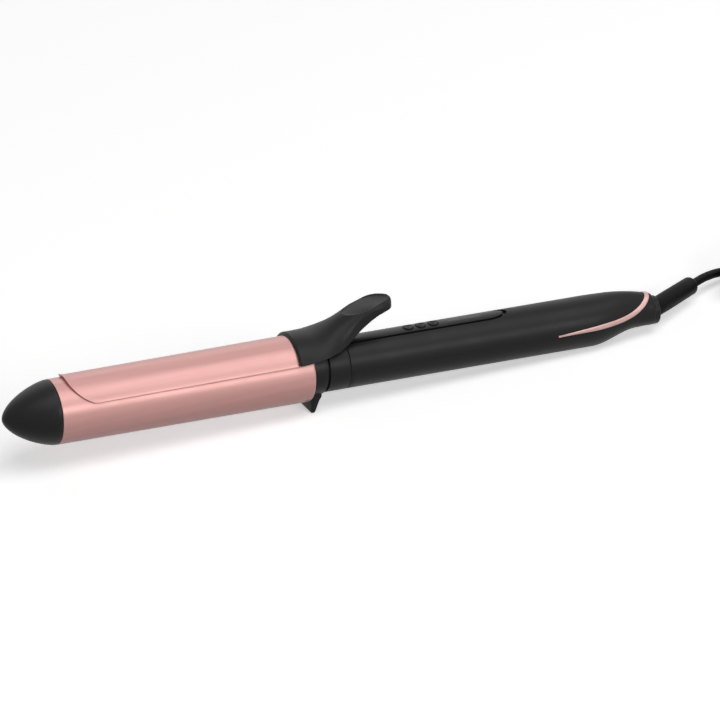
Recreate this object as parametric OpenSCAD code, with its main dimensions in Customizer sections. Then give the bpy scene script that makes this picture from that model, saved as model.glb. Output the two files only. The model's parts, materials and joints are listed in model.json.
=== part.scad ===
// Curling iron: heated barrel with a sprung clip, clamshell handle with three
// buttons, and a mains lead on a swivel. Pieces are drawn along X, with x = 0 at
// the barrel's rear face and the handle towards +X, and then laid on the table.

/* [Barrel and tip] */
// Diameter of the heated barrel
barrel_d = 36.5; // [32:0.5:40]
// Length of the heated barrel
barrel_l = 150; // [120:1:190]
// Wall of the barrel tube
barrel_wall = 1.2; // [0.9:0.1:1.6]
// Rounding of the barrel's rear edge
rim_r = 3; // [1.5:0.5:3.5]
// Length of the cool tip beyond the barrel
tip_l = 29; // [20:1:40]
// Wall of the cool tip
tip_wall = 2.4; // [1.8:0.1:3.5]

/* [Clip] */
// Thickness of the clip plate
clip_t = 0.8; // [0.6:0.1:1.2]
// Half of the angle that the clip plate covers
clip_half = 63.5; // [45:0.5:70]
// How much higher the clip plate stands at its hinge end
clip_rise = 1.1; // [0:0.1:1.4]
// Bare barrel left in front of the clip plate
clip_front = 5.5; // [3:0.5:20]
// Corner length of the clip plate's free end
clip_corner = 16; // [6:1:20]

/* [Thumb lever] */
// How far the lever reaches forward over the barrel
lever_front = 10; // [9:0.5:16]
// How far the lever reaches back over the handle
lever_back = 51.5; // [49:0.5:58]
// Wall of the lever
lever_wall = 1.8; // [1.5:0.1:2.2]
// Rise of the lever from its front edge to its pad
lever_rise = 13.8; // [11:0.2:15]
// Width of the thumb pad
pad_w = 18.4; // [15:0.2:20]
// Thickness of the thumb pad at its rim
pad_t = 5; // [4:0.2:6.5]
// Depth of the dish in the thumb pad
dish = 2.2; // [1:0.1:2.8]

/* [Collar and foot] */
// Length of the black collar between barrel and handle
collar_l = 22.4; // [21:0.1:26]
// Width of the collar's front ring, which carries the foot
ring_w = 9.2; // [8:0.1:10]
// How far the foot reaches below the barrel's centre line
foot_drop = 23.8; // [22:0.2:26]
// Width of the foot
foot_w = 15.4; // [12:0.2:22]

/* [Handle] */
// Diameter of the handle
handle_d = 29; // [28:0.5:32]
// Wall of the handle shells
shell_wall = 2; // [1.6:0.1:2.2]
// Length of the handle's straight part, behind the collar
grip_l = 151.6; // [150:0.2:170]
// Length of the handle's shaped end
tail_l = 37; // [36:0.5:44]
// Width of the control strip
panel_w = 11.8; // [10:0.2:13]
// Length of the control strip
panel_l = 98; // [92:1:108]
// Greatest width of the metallic trim
trim_w = 2.8; // [1.5:0.1:3.2]

/* [Buttons] */
// Diameter of the buttons
button_d = 5.8; // [5:0.1:6.2]
// Distance between the buttons
button_pitch = 7.5; // [7:0.25:9]
// How far a button goes in
button_travel = 0.6; // [0.3:0.1:0.7]

/* [Mains lead] */
// Diameter of the mains cord
cord_d = 5; // [4.6:0.1:5.4]
// Diameter of the tail socket
socket_d = 16; // [15:0.1:16.4]
// Diameter of the strain relief where it leaves the handle
relief_d = 10.6; // [10:0.1:11.2]
// Diameter of the plug's pins
pin_d = 4; // [3.9:0.05:4.1]
// Length of the plug's pins
pin_l = 19; // [18:0.5:20]
// Distance between the plug's pins
pin_pitch = 18.6; // [17:0.2:19]

/* [Hidden] */
$fn = 64;

// clearances
fit = 0.05; // between pieces that are fitted together
gap = 0.3; // between pieces that move past each other

// barrel, clip and lever
barrel_r = barrel_d / 2;
bore_r = barrel_r - barrel_wall;
clip_in = barrel_r + gap;
clip_out = clip_in + clip_t;
lever_r = clip_out + clip_rise + lever_wall;
lever_half = 59.5; // half of the angle that the lever's skirts cover
plug_hole_r = barrel_r - rim_r - 2.5; // hole in the barrel's rear wall

// handle and its seats
handle_r = handle_d / 2;
shell_in = handle_r - shell_wall;
ring_r = handle_r + 0.6;
neck_r = ring_r - 2.4;
wire_bore = neck_r - 2.7;
tail_x = collar_l + grip_l;
end_x = tail_x + tail_l;
socket_x = end_x + 3;
socket_r = socket_d / 2;

// the clip's hinge, above the collar
pivot_x = collar_l - 6.7;
pivot_z = lever_r - 3.2;
pivot_r = 1.2;
ear_in = 3.9;
ear_t = 2.4;
ear_r = 2.9;
cheek_in = ear_in + ear_t + gap;
cheek_t = 2;

// how the iron lies: on its foot and on the handle's underside
foot_x = 2.5;
rest_x = tail_x - 1;
tilt = atan((foot_drop - handle_r) / (rest_x - foot_x));
rest_z = rest_x * sin(tilt) + handle_r * cos(tilt);
low_x = (-barrel_l - tip_l) * cos(tilt);
rotor_x = socket_x + 0.4; // where the strain relief meets the swivel
socket_neck = 4.2; // radius of the rotor's neck in the tail socket
high_x = max(socket_x * cos(tilt) + socket_r * sin(tilt),
    rotor_x * cos(tilt) + socket_neck * sin(tilt));
centre_x = (low_x + high_x) / 2;

function smooth(t) = let(u = min(max(t, 0), 1)) u * u * (3 - 2 * u);
function mix(a, b, t) = a + (b - a) * t;
function norm1(v) = v / norm(v);

module on_table() {
    translate([-centre_x, 0, rest_z]) rotate([0, tilt, 0]) children();
}

// a turned piece: a list of [radius, x] points
module turned(outline) {
    rotate([0, 90, 0]) rotate_extrude() polygon(outline);
}

// part of a turned piece: half an angle each side of straight up
module turned_top(outline, half) {
    rotate([0, 90, 0]) rotate([0, 0, 180 - half]) rotate_extrude(angle = 2 * half)
        polygon(outline);
}

module rod_x(r, x0, x1, y = 0, z = 0) {
    translate([x0, y, z]) rotate([0, 90, 0]) cylinder(r = r, h = x1 - x0);
}

module rod_y(r, y0, y1, x = 0, z = 0) {
    translate([x, y1, z]) rotate([90, 0, 0]) cylinder(r = r, h = y1 - y0);
}

module rod_z(r, z0, z1, x = 0, y = 0) {
    translate([x, y, z0]) cylinder(r = r, h = z1 - z0);
}

module block(x0, x1, y0, y1, z0, z1) {
    translate([x0, y0, z0]) cube([x1 - x0, y1 - y0, z1 - z0]);
}

// a plan or side outline with its mirror image across y = 0
function mirrored(p) = concat(p, [for (i = [len(p) - 1:-1:0]) [p[i][0], -p[i][1]]]);

module tube_x(r_out, r_in, x0, x1) {
    turned([[r_in, x0], [r_out, x0], [r_out, x1], [r_in, x1]]);
}

// a slice of the side view, as wide as the whole iron
module side_cut(outline) {
    translate([0, 2 * handle_r, 0]) rotate([90, 0, 0])
        linear_extrude(4 * handle_r) polygon(outline);
}

// a closed skin over rings of points; a folded ring goes out and comes back
module skin(rings, folded = false) {
    n = len(rings[0]);
    m = len(rings);
    last = (m - 1) * n;
    walls = [for (j = [0:m - 2]) for (i = [0:n - 1])
        let(a = j * n + i, b = j * n + (i + 1) % n)
        each [[a, b, b + n], [a, b + n, a + n]]];
    flat_ends = [[for (i = [n - 1:-1:0]) i], [for (i = [0:n - 1]) last + i]];
    strip_ends = [for (i = [0:n / 2 - 2])
        each [[n - 1 - i, n - 2 - i, i + 1, i],
            [last + i, last + i + 1, last + n - 2 - i, last + n - 1 - i]]];
    polyhedron(points = [for (r = rings) each r],
        faces = concat(walls, folded ? strip_ends : flat_ends));
}

// a tube swept along a route, with its own radius at each point
function side_of(d) = norm1(cross(d, abs(d[2]) > 0.8 * norm(d) ? [1, 0, 0] : [0, 0, 1]));
function heading(p, i) = norm1(p[min(i + 1, len(p) - 1)] - p[max(i - 1, 0)]);
function ring_at(c, d, r, n) = let(a = side_of(d), b = cross(a, d))
    [for (k = [0:n - 1]) c + r * (cos(360 * k / n) * a + sin(360 * k / n) * b)];
module swept(p, r, n = 8) {
    skin([for (i = [0:len(p) - 1]) ring_at(p[i], heading(p, i), is_list(r) ? r[i] : r, n)]);
}

// ---- barrel and tip ----

function tip_radius(s) = barrel_r * pow(1 - pow(s, 1.4), 1 / 1.7);
tip_steps = 16;

module tip_form(shrink) {
    mouth = (shrink > 0 ? 1 : 0) - barrel_l;
    turned([[0, mouth], [barrel_r - shrink, mouth],
        for (i = [1:tip_steps])
            let(s = 1 - pow(1 - i / tip_steps, 1.6), r = tip_radius(s) - shrink)
            if (r > 0.3) [r, -barrel_l - s * (tip_l - shrink)],
        [0, -barrel_l - tip_l + shrink]]);
}

carrier_x = -barrel_l + 6.5;

module cool_tip() {
    color([0.13, 0.13, 0.135]) {
        difference() {
            tip_form(0);
            tip_form(tip_wall);
        }
        tube_x(bore_r - fit, bore_r - 2, -barrel_l - 0.5, carrier_x - fit);
        difference() {
            rod_x(3.2, -barrel_l - tip_l + tip_wall - 0.2, carrier_x - fit);
            rod_x(1.25 + fit, -barrel_l - 12, carrier_x);
        }
    }
}

module tip_carrier() {
    color("silver") difference() {
        turned([[1.6, carrier_x], [bore_r - fit, carrier_x], [bore_r - fit, carrier_x + 5],
            [bore_r - 1.2, carrier_x + 5], [bore_r - 1.2, carrier_x + 1.2],
            [1.6, carrier_x + 1.2]]);
        for (a = [0:60:300]) rotate([a, 0, 0]) rod_x(3, carrier_x - 1, carrier_x + 3, 0, 11);
    }
}

module tip_screw() {
    color("silver") {
        rod_x(1.25, -barrel_l - 10, carrier_x + 1.3);
        rod_x(2.6, carrier_x + 1.2, carrier_x + 3);
    }
}

module barrel_tube() {
    color([0.86, 0.66, 0.64]) turned([
        [bore_r, -barrel_l], [barrel_r, -barrel_l],
        for (a = [0:10:90]) [barrel_r - rim_r + rim_r * cos(a), -rim_r + rim_r * sin(a)],
        [plug_hole_r, 0], [plug_hole_r, -barrel_wall],
        for (a = [90:-10:0]) [barrel_r - rim_r + (rim_r - barrel_wall) * cos(a),
            -rim_r + (rim_r - barrel_wall) * sin(a)]]);
}

// ---- heater inside the barrel ----

heater_x0 = -barrel_l * 2 / 3;
heater_l = 60;
heater_x1 = heater_x0 + heater_l;
plate_t = 4.4; // thickness of the ceramic plates between the spreaders
plate_w = 12;
flange_t = 1.2;

module spreader() {
    outer = bore_r - fit;
    flange_z = plate_t / 2 + fit;
    turned_top([[outer - 1.1, heater_x0], [outer, heater_x0], [outer, heater_x1],
        [outer - 1.1, heater_x1]], 72);
    block(heater_x0, heater_x1, -13, 13, flange_z, flange_z + flange_t);
    for (s = [-1, 1]) block(heater_x0, heater_x1, s * 7 - 0.6, s * 7 + 0.6,
        flange_z, sqrt(outer * outer - 49) - 0.6);
}

module heat_spreaders() {
    color("lightgray") for (a = [0, 180]) rotate([a, 0, 0]) spreader();
}

module heater_plates() {
    color("ivory") for (x = [heater_x0 + 1, heater_x0 + heater_l / 2 + 1])
        block(x, x + heater_l / 2 - 2, -plate_w / 2, plate_w / 2, -plate_t / 2, plate_t / 2);
}

module heater_spring() {
    r = plate_t / 2;
    color("silver") for (s = [-1, 1]) difference() {
        rod_x(r, heater_x0 + 2, heater_x1 - 2, s * 9.5);
        rod_x(r - 0.4, heater_x0, heater_x1, s * 9.5);
        block(heater_x0, heater_x1, s * 11.4 - 0.8, s * 11.4 + 0.8, -0.8, 0.8);
    }
}

sensor_z = plate_t / 2 + fit + flange_t + 1.35;
sensor_x1 = heater_x1 - 6;

module temperature_sensor() {
    color("orange") {
        rod_x(1.3, sensor_x1 - 7, sensor_x1, 0, sensor_z);
        translate([sensor_x1 - 7, 0, sensor_z]) sphere(1.3);
    }
}

fuse_x = heater_x1 + 10;
fuse_l = 11;
lead_y = 4.3;

module thermal_fuse() {
    color("tan") rod_x(1.9, fuse_x, fuse_x + fuse_l, lead_y);
}

// ---- handle electronics, placed from the collar ----

button_x = collar_l + 40.3;
board_x = button_x - 9;
board_l = 90;
board_w = 19.4;
board_z = 4.6; // top of the circuit board
board_t = 1.6;
lead_end = board_x + 3;

module heater_leads() {
    color("white") {
        rod_x(1, heater_x1 - 1, lead_end, -lead_y);
        rod_x(1, heater_x1 - 1, fuse_x, lead_y);
        rod_x(1, fuse_x + fuse_l, lead_end, lead_y);
        for (s = [-1, 1]) rod_z(1, 0, board_z - board_t, lead_end - 1, s * lead_y);
        for (s = [-1, 1]) rod_x(0.5, sensor_x1, board_x, s * 0.6,
            min(sensor_z, board_z - 0.6));
    }
}

module barrel_plug() {
    color("wheat") difference() {
        turned([[6.6, -barrel_wall - 3], [bore_r - fit - 0.2, -barrel_wall - 3],
            [bore_r - rim_r + 0.6, -barrel_wall - fit], [plug_hole_r - fit, -barrel_wall - fit],
            [plug_hole_r - fit, 0], [wire_bore - fit, 0], [wire_bore - fit, 8], [6.6, 8]]);
        barrel_screw_places() rod_x(1.1, -barrel_wall - 4, 1);
    }
}

module barrel_screw_places() {
    for (a = [60, 180, 300]) rotate([a, 0, 0])
        translate([0, 0, (neck_r + wire_bore) / 2]) children();
}

module barrel_screws() {
    color("silver") barrel_screw_places() {
        rod_x(1, -barrel_wall - 3.1, 7.4);
        rod_x(1.9, -barrel_wall - 4.5, -barrel_wall - 3 - fit);
    }
}

// ---- clip, lever and hinge ----

clip_screw_x = 3.5;
clip_screw_y = 5;

module clip_screw_places() {
    for (s = [-1, 1]) translate([clip_screw_x, s * clip_screw_y, 0]) children();
}

// the clip plate's slope, which lifts its hinge end off the barrel
clip_rake = atan(clip_rise / (barrel_l - clip_front));
module raked() {
    translate([clip_front - barrel_l, 0, 0]) rotate([0, -clip_rake, 0])
        translate([barrel_l - clip_front, 0, 0]) children();
}

module clip_plate() {
    edge_y = clip_out * sin(clip_half) + 0.1;
    corner_y = 0.56 * edge_y;
    front = -barrel_l + clip_front;
    tongue_y = 10;
    tongue_x = clip_screw_x + 3;
    half_plan = concat([for (a = [0:10:90]) [front + clip_corner * (1 - cos(a)),
            edge_y - corner_y + corner_y * sin(a)]],
        [[-lever_front + 3, edge_y], [-lever_front + 6, tongue_y], [tongue_x, tongue_y]]);
    color([0.86, 0.66, 0.64]) difference() {
        raked() intersection() {
            turned_top([[clip_in, front - 1], [clip_out, front - 1],
                [clip_out, tongue_x + 1], [clip_in, tongue_x + 1]], clip_half);
            linear_extrude(clip_out + 1) polygon(mirrored(half_plan));
        }
        clip_screw_places() rod_z(1.15, 10, 30);
    }
}

// the lever's sections: where x is, how wide, how high, how low
lever_l = lever_front + lever_back;
pad_x = pivot_x + 7.5; // where the lever's underside closes towards the pad
skirt_z = lever_r * cos(lever_half); // height of the skirts' front corners
skirt_rise = 2.9;
pad_lift = lever_rise + lever_r - pad_t - skirt_z - skirt_rise;
function lever_top(x) = lever_r + lever_rise * smooth((x - 1) / 41);
function lever_edge(x) = skirt_z + skirt_rise * smooth((x + 8) / 24)
    + pad_lift * smooth((x - 14) / 34);
function lever_side(x) = let(wide = lever_r * sin(lever_half),
        w = mix(wide, pad_w / 2, smooth((x - 3) / 30)), e = x - lever_back + pad_w / 2)
    e > 0 ? pad_w / 2 * sqrt(max(1 - pow(e / (pad_w / 2 + 0.4), 2), 0)) : w;
function lever_arch(x) = mix(lever_half, 84, smooth((x - 5) / 30));
function lever_hollow(x) = mix(lever_top(x) - lever_wall, lever_edge(x) + 0.4,
    smooth((x - pad_x - 0.5) / 7));
function lever_flat(x) = mix(1, 0.4, smooth((x - 16) / 16)); // how flat the pad's top is
function pad_dip(x, y) = let(half = 13.5, c = lever_back - 15.5)
    dish * max(1 - pow((x - c) / half, 2) - pow(y / (pad_w / 2 - 1), 2), 0);
function arch_share(a, half) = max((cos(a) - cos(half)) / (1 - cos(half)), 0);
function arch_point(x, u, w, top, low, half, flat = 1) =
    let(a = u * half) [x, w * sin(a) / sin(half), low + (top - low) * pow(arch_share(a, half), flat)];
arch_n = 20;
// height of the lever's inner face off its middle
function lever_under(x, y) = let(h = lever_arch(x), w = lever_side(x) - lever_wall,
        l = lever_edge(x), a = asin(min(abs(y) * sin(h) / w, 1)))
    l + (lever_hollow(x) - l) * arch_share(a, h);
lever_stations = [for (k = [0:1:15]) -lever_front + k * (lever_l - 19.5) / 15,
    for (k = [1:1:13]) lever_back - 19.5 + 19.4 * (1 - pow(1 - k / 13, 1.5))];

function lever_ring(x) = let(w = lever_side(x), t = lever_top(x), l = lever_edge(x),
        h = lever_arch(x), r = lever_hollow(x), wall = min(lever_wall, w / 4))
    concat(
        [for (i = [0:arch_n])
            let(p = arch_point(x, 2 * i / arch_n - 1, w, t, l, h, lever_flat(x)))
            p - [0, 0, pad_dip(x, p[1])]],
        [for (i = [arch_n:-1:0]) arch_point(x, 2 * i / arch_n - 1, w - wall, r, l, h)]);

module clip_lever() {
    color([0.16, 0.16, 0.165]) difference() {
        union() {
            skin([for (x = lever_stations) lever_ring(x)], true);
            for (s = [-1, 1]) translate([0, s > 0 ? 0 : -cheek_t, 0])
                block(pivot_x - 3.5, pivot_x + 3.5, s * cheek_in, s * cheek_in + cheek_t,
                    pivot_z - 3, pivot_z + 3);
            clip_screw_places() rod_z(2.2, sqrt(clip_out * clip_out - 9) - 0.3,
                lever_r + 0.2);
        }
        rod_y(pivot_r + fit, -2 * cheek_in, 2 * cheek_in, pivot_x, pivot_z);
        clip_screw_places() rod_z(0.95, 10, lever_r - 0.8);
        raked() turned_top([[clip_in - 1, -lever_front - 1], [clip_out + fit, -lever_front - 1],
            [clip_out + fit, clip_screw_x + 4], [clip_in - 1, clip_screw_x + 4]], clip_half);
    }
}

module clip_screws() {
    head_z = sqrt(clip_in * clip_in - pow(clip_screw_y + 2, 2)) - fit;
    color("silver") clip_screw_places() {
        rod_z(2, head_z - 1.4, head_z);
        rod_z(0.9, head_z - 0.1, lever_r - 1);
    }
}

module pivot_pin() {
    half = cheek_in + cheek_t - 0.1;
    color("silver") rod_y(pivot_r, -half, half, pivot_x, pivot_z);
}

spring_wire = 0.9;
spring_r = pivot_r + 1.2;
spring_half = ear_in - 0.7; // half of the coil's width
spring_start = -75;
spring_angle = 1600;

function spring_point(t) = let(a = spring_start - spring_angle * t)
    [pivot_x + spring_r * cos(a), mix(-spring_half, spring_half, t),
        pivot_z + spring_r * sin(a)];

module clip_spring() {
    up_x = pivot_x + 7.6;
    up_end = [up_x, spring_half, lever_under(up_x, spring_half) - spring_wire / 2 - 3 * gap];
    low_end = [pivot_x + 9, -spring_half, handle_r + spring_wire / 2 + gap];
    coil = [for (k = [0:62]) spring_point(k / 62)];
    color("silver") swept(concat([low_end, mix(low_end, coil[0], 0.9)], coil,
        [mix(up_end, coil[62], 0.9), up_end]), spring_wire / 2, 6);
}

// ---- collar, ring and foot ----

module stand_ring() {
    root_z = -0.55 * ring_r;
    front = foot_x - 1.1;
    wedge = [[front, root_z], [front, -foot_drop - 3], [foot_x + 1, -foot_drop - 3],
        [foot_x + 1, -foot_drop], [foot_x + 3.9, -ring_r - 1.4], [foot_x + 5.1, -ring_r + 0.2],
        [foot_x + 5.1, root_z]];
    color([0.12, 0.12, 0.12]) {
        tube_x(ring_r, neck_r + fit, 0, ring_w);
        difference() {
            intersection() {
                translate([0, foot_w / 2, 0]) rotate([90, 0, 0]) linear_extrude(foot_w)
                    polygon(wedge);
                above_table();
            }
            rod_x(neck_r + fit, -1, ring_w);
        }
    }
}

// everything above the plane that the iron lies on
module above_table() {
    rotate([0, -tilt, 0]) translate([-300, -50, -rest_z]) cube([600, 100, 100]);
}

module barrel_collar() {
    ear_x = [pivot_x - ear_r, pivot_x + ear_r];
    color([0.14, 0.14, 0.14]) difference() {
        union() {
            turned([[wire_bore, 0], [neck_r, 0], [neck_r, ring_w + fit],
                [handle_r + 0.1, ring_w + fit], [handle_r + 0.1, collar_l - 0.2],
                [shell_in - fit, collar_l - 0.2], [shell_in - fit, collar_l + 9],
                [wire_bore, collar_l + 9]]);
            for (s = [-1, 1]) translate([0, s > 0 ? 0 : -ear_t, 0]) {
                block(ear_x[0], ear_x[1], s * ear_in, s * ear_in + ear_t, neck_r - 1.5, pivot_z);
                rod_y(ear_r, s * ear_in, s * ear_in + ear_t, pivot_x, pivot_z);
            }
        }
        rod_y(pivot_r + fit, -20, 20, pivot_x, pivot_z);
        barrel_screw_places() rod_x(1 + fit, -1, 7.6);
        for (s = [-1, 1]) translate([ring_w, s * (handle_r + 0.3), 4.5])
            cube([3, 4.4, 6.4], center = true);
    }
}

// ---- handle shells ----

function tail_low(x) = handle_r - (handle_r - socket_r) * smooth((x - rest_x) / 26);
function tail_wide(x) = handle_r - (handle_r - socket_r - 0.3) * smooth((x - tail_x + 6) / 43);
function tail_top(x) = handle_r
    - (handle_r - socket_r - 2) * pow(max(x - tail_x - 9, 0) / (tail_l - 9), 1.35);
trim_l = 63;
trim_x = end_x - trim_l; // where the trim starts
tail_n = 48;

// the handle's shaped end, grown or shrunk, between two places
module tail_form(grow, x0, x1) {
    stations = [x0, for (x = [rest_x - 7:3.5:x1 - 1]) x, x1];
    skin([for (x = stations) [for (k = [0:tail_n - 1])
        let(a = 360 * k / tail_n, up = cos(a) > 0 ? tail_top(x) : tail_low(x))
        [x, (tail_wide(x) + grow) * sin(a), (up + grow) * cos(a)]]]);
}

// its wall, with the solid end that holds the cord's swivel
module tail_wall(depth, x0) {
    difference() {
        tail_form(-depth, x0, end_x);
        tail_form(-shell_wall, x0 - 1, end_x - 4);
    }
}

// the trim's middle line in the side view, rising to the top of the handle's end
trim_sweep = 37; // length of its upward sweep
trim_rise = 12;
function trim_mid(x) = 0.048 * (x - trim_x)
    + trim_rise * pow(max(x - end_x + trim_sweep, 0) / trim_sweep, 3.9);
function trim_half(x) = trim_w / 2 * smooth((x - trim_x + 8) / 30);
function trim_edge(x, s) = let(slope = (trim_mid(x + 0.1) - trim_mid(x)) / 0.1,
        n = norm1([-slope, 1])) [x, trim_mid(x)] + s * trim_half(x) * n;
trim_steps = [for (k = [0:16]) trim_x + (end_x + 1 - trim_x) * (1 - pow(1 - k / 16, 1.5))];

module above_trim() {
    side_cut(concat([[0, 0], [trim_x, 0]], [for (x = trim_steps) trim_edge(x, 1)],
        [[end_x - 2, 30], [0, 30]]));
}

module below_trim() {
    side_cut(concat([[0, 0], [trim_x, 0]], [for (x = trim_steps) trim_edge(x, -1)],
        [[end_x + 20, 30], [end_x + 20, -30], [0, -30]]));
}

module along_trim(under = 0) {
    side_cut(concat([for (x = trim_steps) trim_edge(x, 1)],
        [for (k = [16:-1:0]) trim_edge(trim_steps[k], -1) - [0, under]]));
}

// the handle's screws: two in front of the circuit board and one behind it
boss_r = 2.2;
boss_gap = 6.8; // from the board to the rear screw's boss
boss_y = shell_in - 4.3; // how far the front screws stand from the middle
screw_seat = 6 - handle_r; // where the heads of the handle's screws bear

module shell_screw_places() {
    front_x = board_x - 9.8;
    for (p = [[front_x, boss_y], [front_x, -boss_y], [board_x + board_l + boss_gap + boss_r, 0]])
        translate(p) children();
}

// the strip's outline in plan, grown by a gap
module panel_plan(grow) {
    x0 = collar_l + 0.8 - grow;
    x1 = collar_l + 0.8 + panel_l - 11;
    w = panel_w / 2 + grow;
    polygon([[x0, -w], [x1, -w], for (a = [-80:10:80]) [x1 + (11 + grow) * cos(a), w * sin(a)],
        [x1, w], [x0, w]]);
}

panel_in = handle_r - 1.2;
window_x = button_x + 2 * button_pitch + 9;
window_l = 20;
window_w = 2.4;

button_stem = 1.5; // radius of the buttons' stems

module upper_shell() {
    color([0.14, 0.14, 0.145]) difference() {
        union() {
            intersection() {
                tail_wall(0, collar_l);
                above_trim();
            }
            intersection() {
                rod_x(handle_r - 0.6, collar_l, tail_x);
                shell_screw_places() rod_z(boss_r, gap, handle_r);
            }
        }
        shell_screw_places() rod_z(1, 0, 7);
        intersection() {
            tube_x(handle_r + 1, panel_in - fit, collar_l - 5, collar_l + panel_l + 5);
            linear_extrude(handle_r + 1) panel_plan(gap);
        }
        for (k = [0:2]) rod_z(button_stem + gap, 5, handle_r + 1, button_x + k * button_pitch);
        block(window_x + 1, window_x + window_l - 1, -window_w / 2, window_w / 2, 5, 20);
    }
}

module lower_shell() {
    color([0.13, 0.13, 0.135]) difference() {
        union() {
            intersection() {
                tail_wall(0, collar_l);
                below_trim();
            }
            intersection() {
                tail_wall(trim_depth, trim_x);
                along_trim(0.6);
            }
            rod_x(socket_r, end_x - 2, socket_x);
            intersection() {
                rod_x(handle_r - 0.6, collar_l, tail_x);
                shell_screw_places() rod_z(boss_r, -handle_r, 0);
            }
            board_screw_places() rod_z(2, -shell_in + 2.4, board_z - board_t);
            intersection() {
                tail_form(0.5 - shell_wall, trim_x, end_x);
                union() {
                    block(brush_x, brush_x + 8, -4.5, 4.5, -handle_r, brush_z);
                    block(saddle_x, saddle_x + 2.6, -7, 7, -handle_r, 0);
                }
            }
        }
        rod_x(neck_bore, end_x - 5, socket_x + 1);
        rod_x(shaft_r + 0.1, saddle_x - 1, saddle_x + 4);
        shell_screw_places() {
            rod_z(1.9, -handle_r - 1, screw_seat);
            rod_z(1.15, -handle_r, 1);
        }
        board_screw_places() rod_z(0.85, -4, board_z);
    }
}

trim_depth = 1.2;

module tail_trim() {
    color([0.9, 0.7, 0.68]) intersection() {
        difference() {
            tail_form(0.15, trim_x, end_x);
            tail_form(-trim_depth, trim_x - 1, end_x + 1);
        }
        along_trim();
    }
}

module shell_screws() {
    color("silver") shell_screw_places() {
        rod_z(1.8, screw_seat - 1.4, screw_seat);
        rod_z(1, screw_seat - 0.1, 6);
    }
}

// ---- control strip ----

module control_panel() {
    color([0.1, 0.1, 0.1]) difference() {
        intersection() {
            tube_x(handle_r - 0.05, panel_in, collar_l - 5, collar_l + panel_l + 5);
            linear_extrude(handle_r + 1) panel_plan(0);
        }
        for (k = [0:2]) rod_z(button_d / 2 + gap, 5, 20, button_x + k * button_pitch);
        block(window_x - fit, window_x + window_l + fit, -window_w / 2 - fit,
            window_w / 2 + fit, 5, 20);
    }
}

module button(k) {
    x = button_x + k * button_pitch;
    cap_z = panel_in + button_travel + 0.1;
    color([0.2, 0.2, 0.2]) {
        difference() {
            rod_z(button_d / 2, cap_z, handle_r + 0.5, x);
            translate([x, 0, handle_r + 0.5 + 11.8]) sphere(12);
        }
        rod_z(button_stem, switch_z - 0.2, cap_z + 0.2, x);
    }
}

module minus_button() { button(0); }
module plus_button() { button(1); }
module power_button() { button(2); }

module light_window() {
    color([0.25, 0.22, 0.22]) {
        intersection() {
            block(window_x, window_x + window_l, -window_w / 2, window_w / 2, 5, 20);
            tube_x(handle_r - 0.05, panel_in, window_x - 1, window_x + window_l + 1);
        }
        for (k = [0:4]) rod_z(0.9, board_z + 1.1, panel_in + 0.3, window_x + 2 + 4 * k);
    }
}

module status_lights() {
    color("white") for (k = [0:4]) {
        x = window_x + 2 + 4 * k;
        block(x - 1, x + 1, -0.6, 0.6, board_z, board_z + 0.8);
    }
}

switch_z = board_z + 3.6; // top of the switches

module button_switches() {
    color("dimgray") for (k = [0:2]) difference() {
        x = button_x + k * button_pitch;
        block(x - 3, x + 3, -3, 3, board_z, switch_z);
        rod_z(button_stem + gap, switch_z - button_travel - 0.5, switch_z + 1,
            button_x + k * button_pitch);
    }
}

module board_screw_places() {
    for (x = [board_x + 4, board_x + board_l - 4]) for (s = [-1, 1])
        translate([x, s * (board_w / 2 - 2.4), 0]) children();
}

module circuit_board() {
    color("darkgreen") difference() {
        block(board_x, board_x + board_l, -board_w / 2, board_w / 2,
            board_z - board_t, board_z);
        board_screw_places() rod_z(1.1, 0, 10);
    }
}

// what stands on the board, placed from its rear end
relay = [17, 9.5, 4.8];
coil_box = [11, 5, 4];
chip = [10, 5, 1.6];
can_r = 2.8;
can_l = 12;

module board_parts() {
    relay_x = board_x + board_l - 11 - relay[0];
    color("dimgray") {
        translate([relay_x, 3 - relay[1], board_z]) cube(relay);
        translate([relay_x - 4 - coil_box[0], -8, board_z]) cube(coil_box);
        translate([relay_x - 20 - chip[0], -8.4, board_z]) cube(chip);
        rod_x(can_r, relay_x - 6 - can_l, relay_x - 6, can_r + 1.7, board_z + can_r);
    }
}

module board_screws() {
    color("silver") board_screw_places() {
        rod_z(1.7, board_z + fit, board_z + 1.3);
        rod_z(0.8, -3, board_z + 0.1);
    }
}

// ---- swivel ----

shaft_r = 2.2; // the rotor's shaft, which carries the slip rings
neck_bore = socket_neck + 0.1;
ring_x = end_x - 20; // first slip ring
brush_x = ring_x;
brush_z = -5.4; // the top of the brushes' base
saddle_x = end_x - 11; // rib under the rotor's shaft

module swivel_rotor() {
    flange_r = socket_r - shell_wall - gap;
    color([0.3, 0.3, 0.3]) turned([[0, ring_x - 1], [shaft_r, ring_x - 1],
        [shaft_r, end_x - 8], [flange_r, end_x - 8], [flange_r, end_x - 4 - gap],
        [socket_neck, end_x - 4 - gap], [socket_neck, rotor_x], [0, rotor_x]]);
}

module slip_rings() {
    color("gold") for (k = [0, 1])
        tube_x(3.4, shaft_r, ring_x + 4.5 * k, ring_x + 4.5 * k + 2.6);
}

module brush_contacts() {
    color("gold") for (k = [0, 1]) {
        x = ring_x + 4.5 * k;
        block(x + 0.4, x + 2.2, -2.6, 2.6, -4.2, -3.6);
        block(x + 0.4, x + 2.2, -2.6, -2, brush_z, -3.6);
    }
}

module mains_leads() {
    color("saddlebrown") for (s = [-1, 1]) {
        rod_x(0.8, board_x + board_l - 8, brush_x + 2, s * 3.6, -3);
        rod_z(0.8, -3, board_z - board_t, board_x + board_l - 8, s * 3.6);
        rod_z(0.8, brush_z, -3, brush_x + 2, s * 3.6);
    }
}

// ---- strain relief, cord and plug ----

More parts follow.
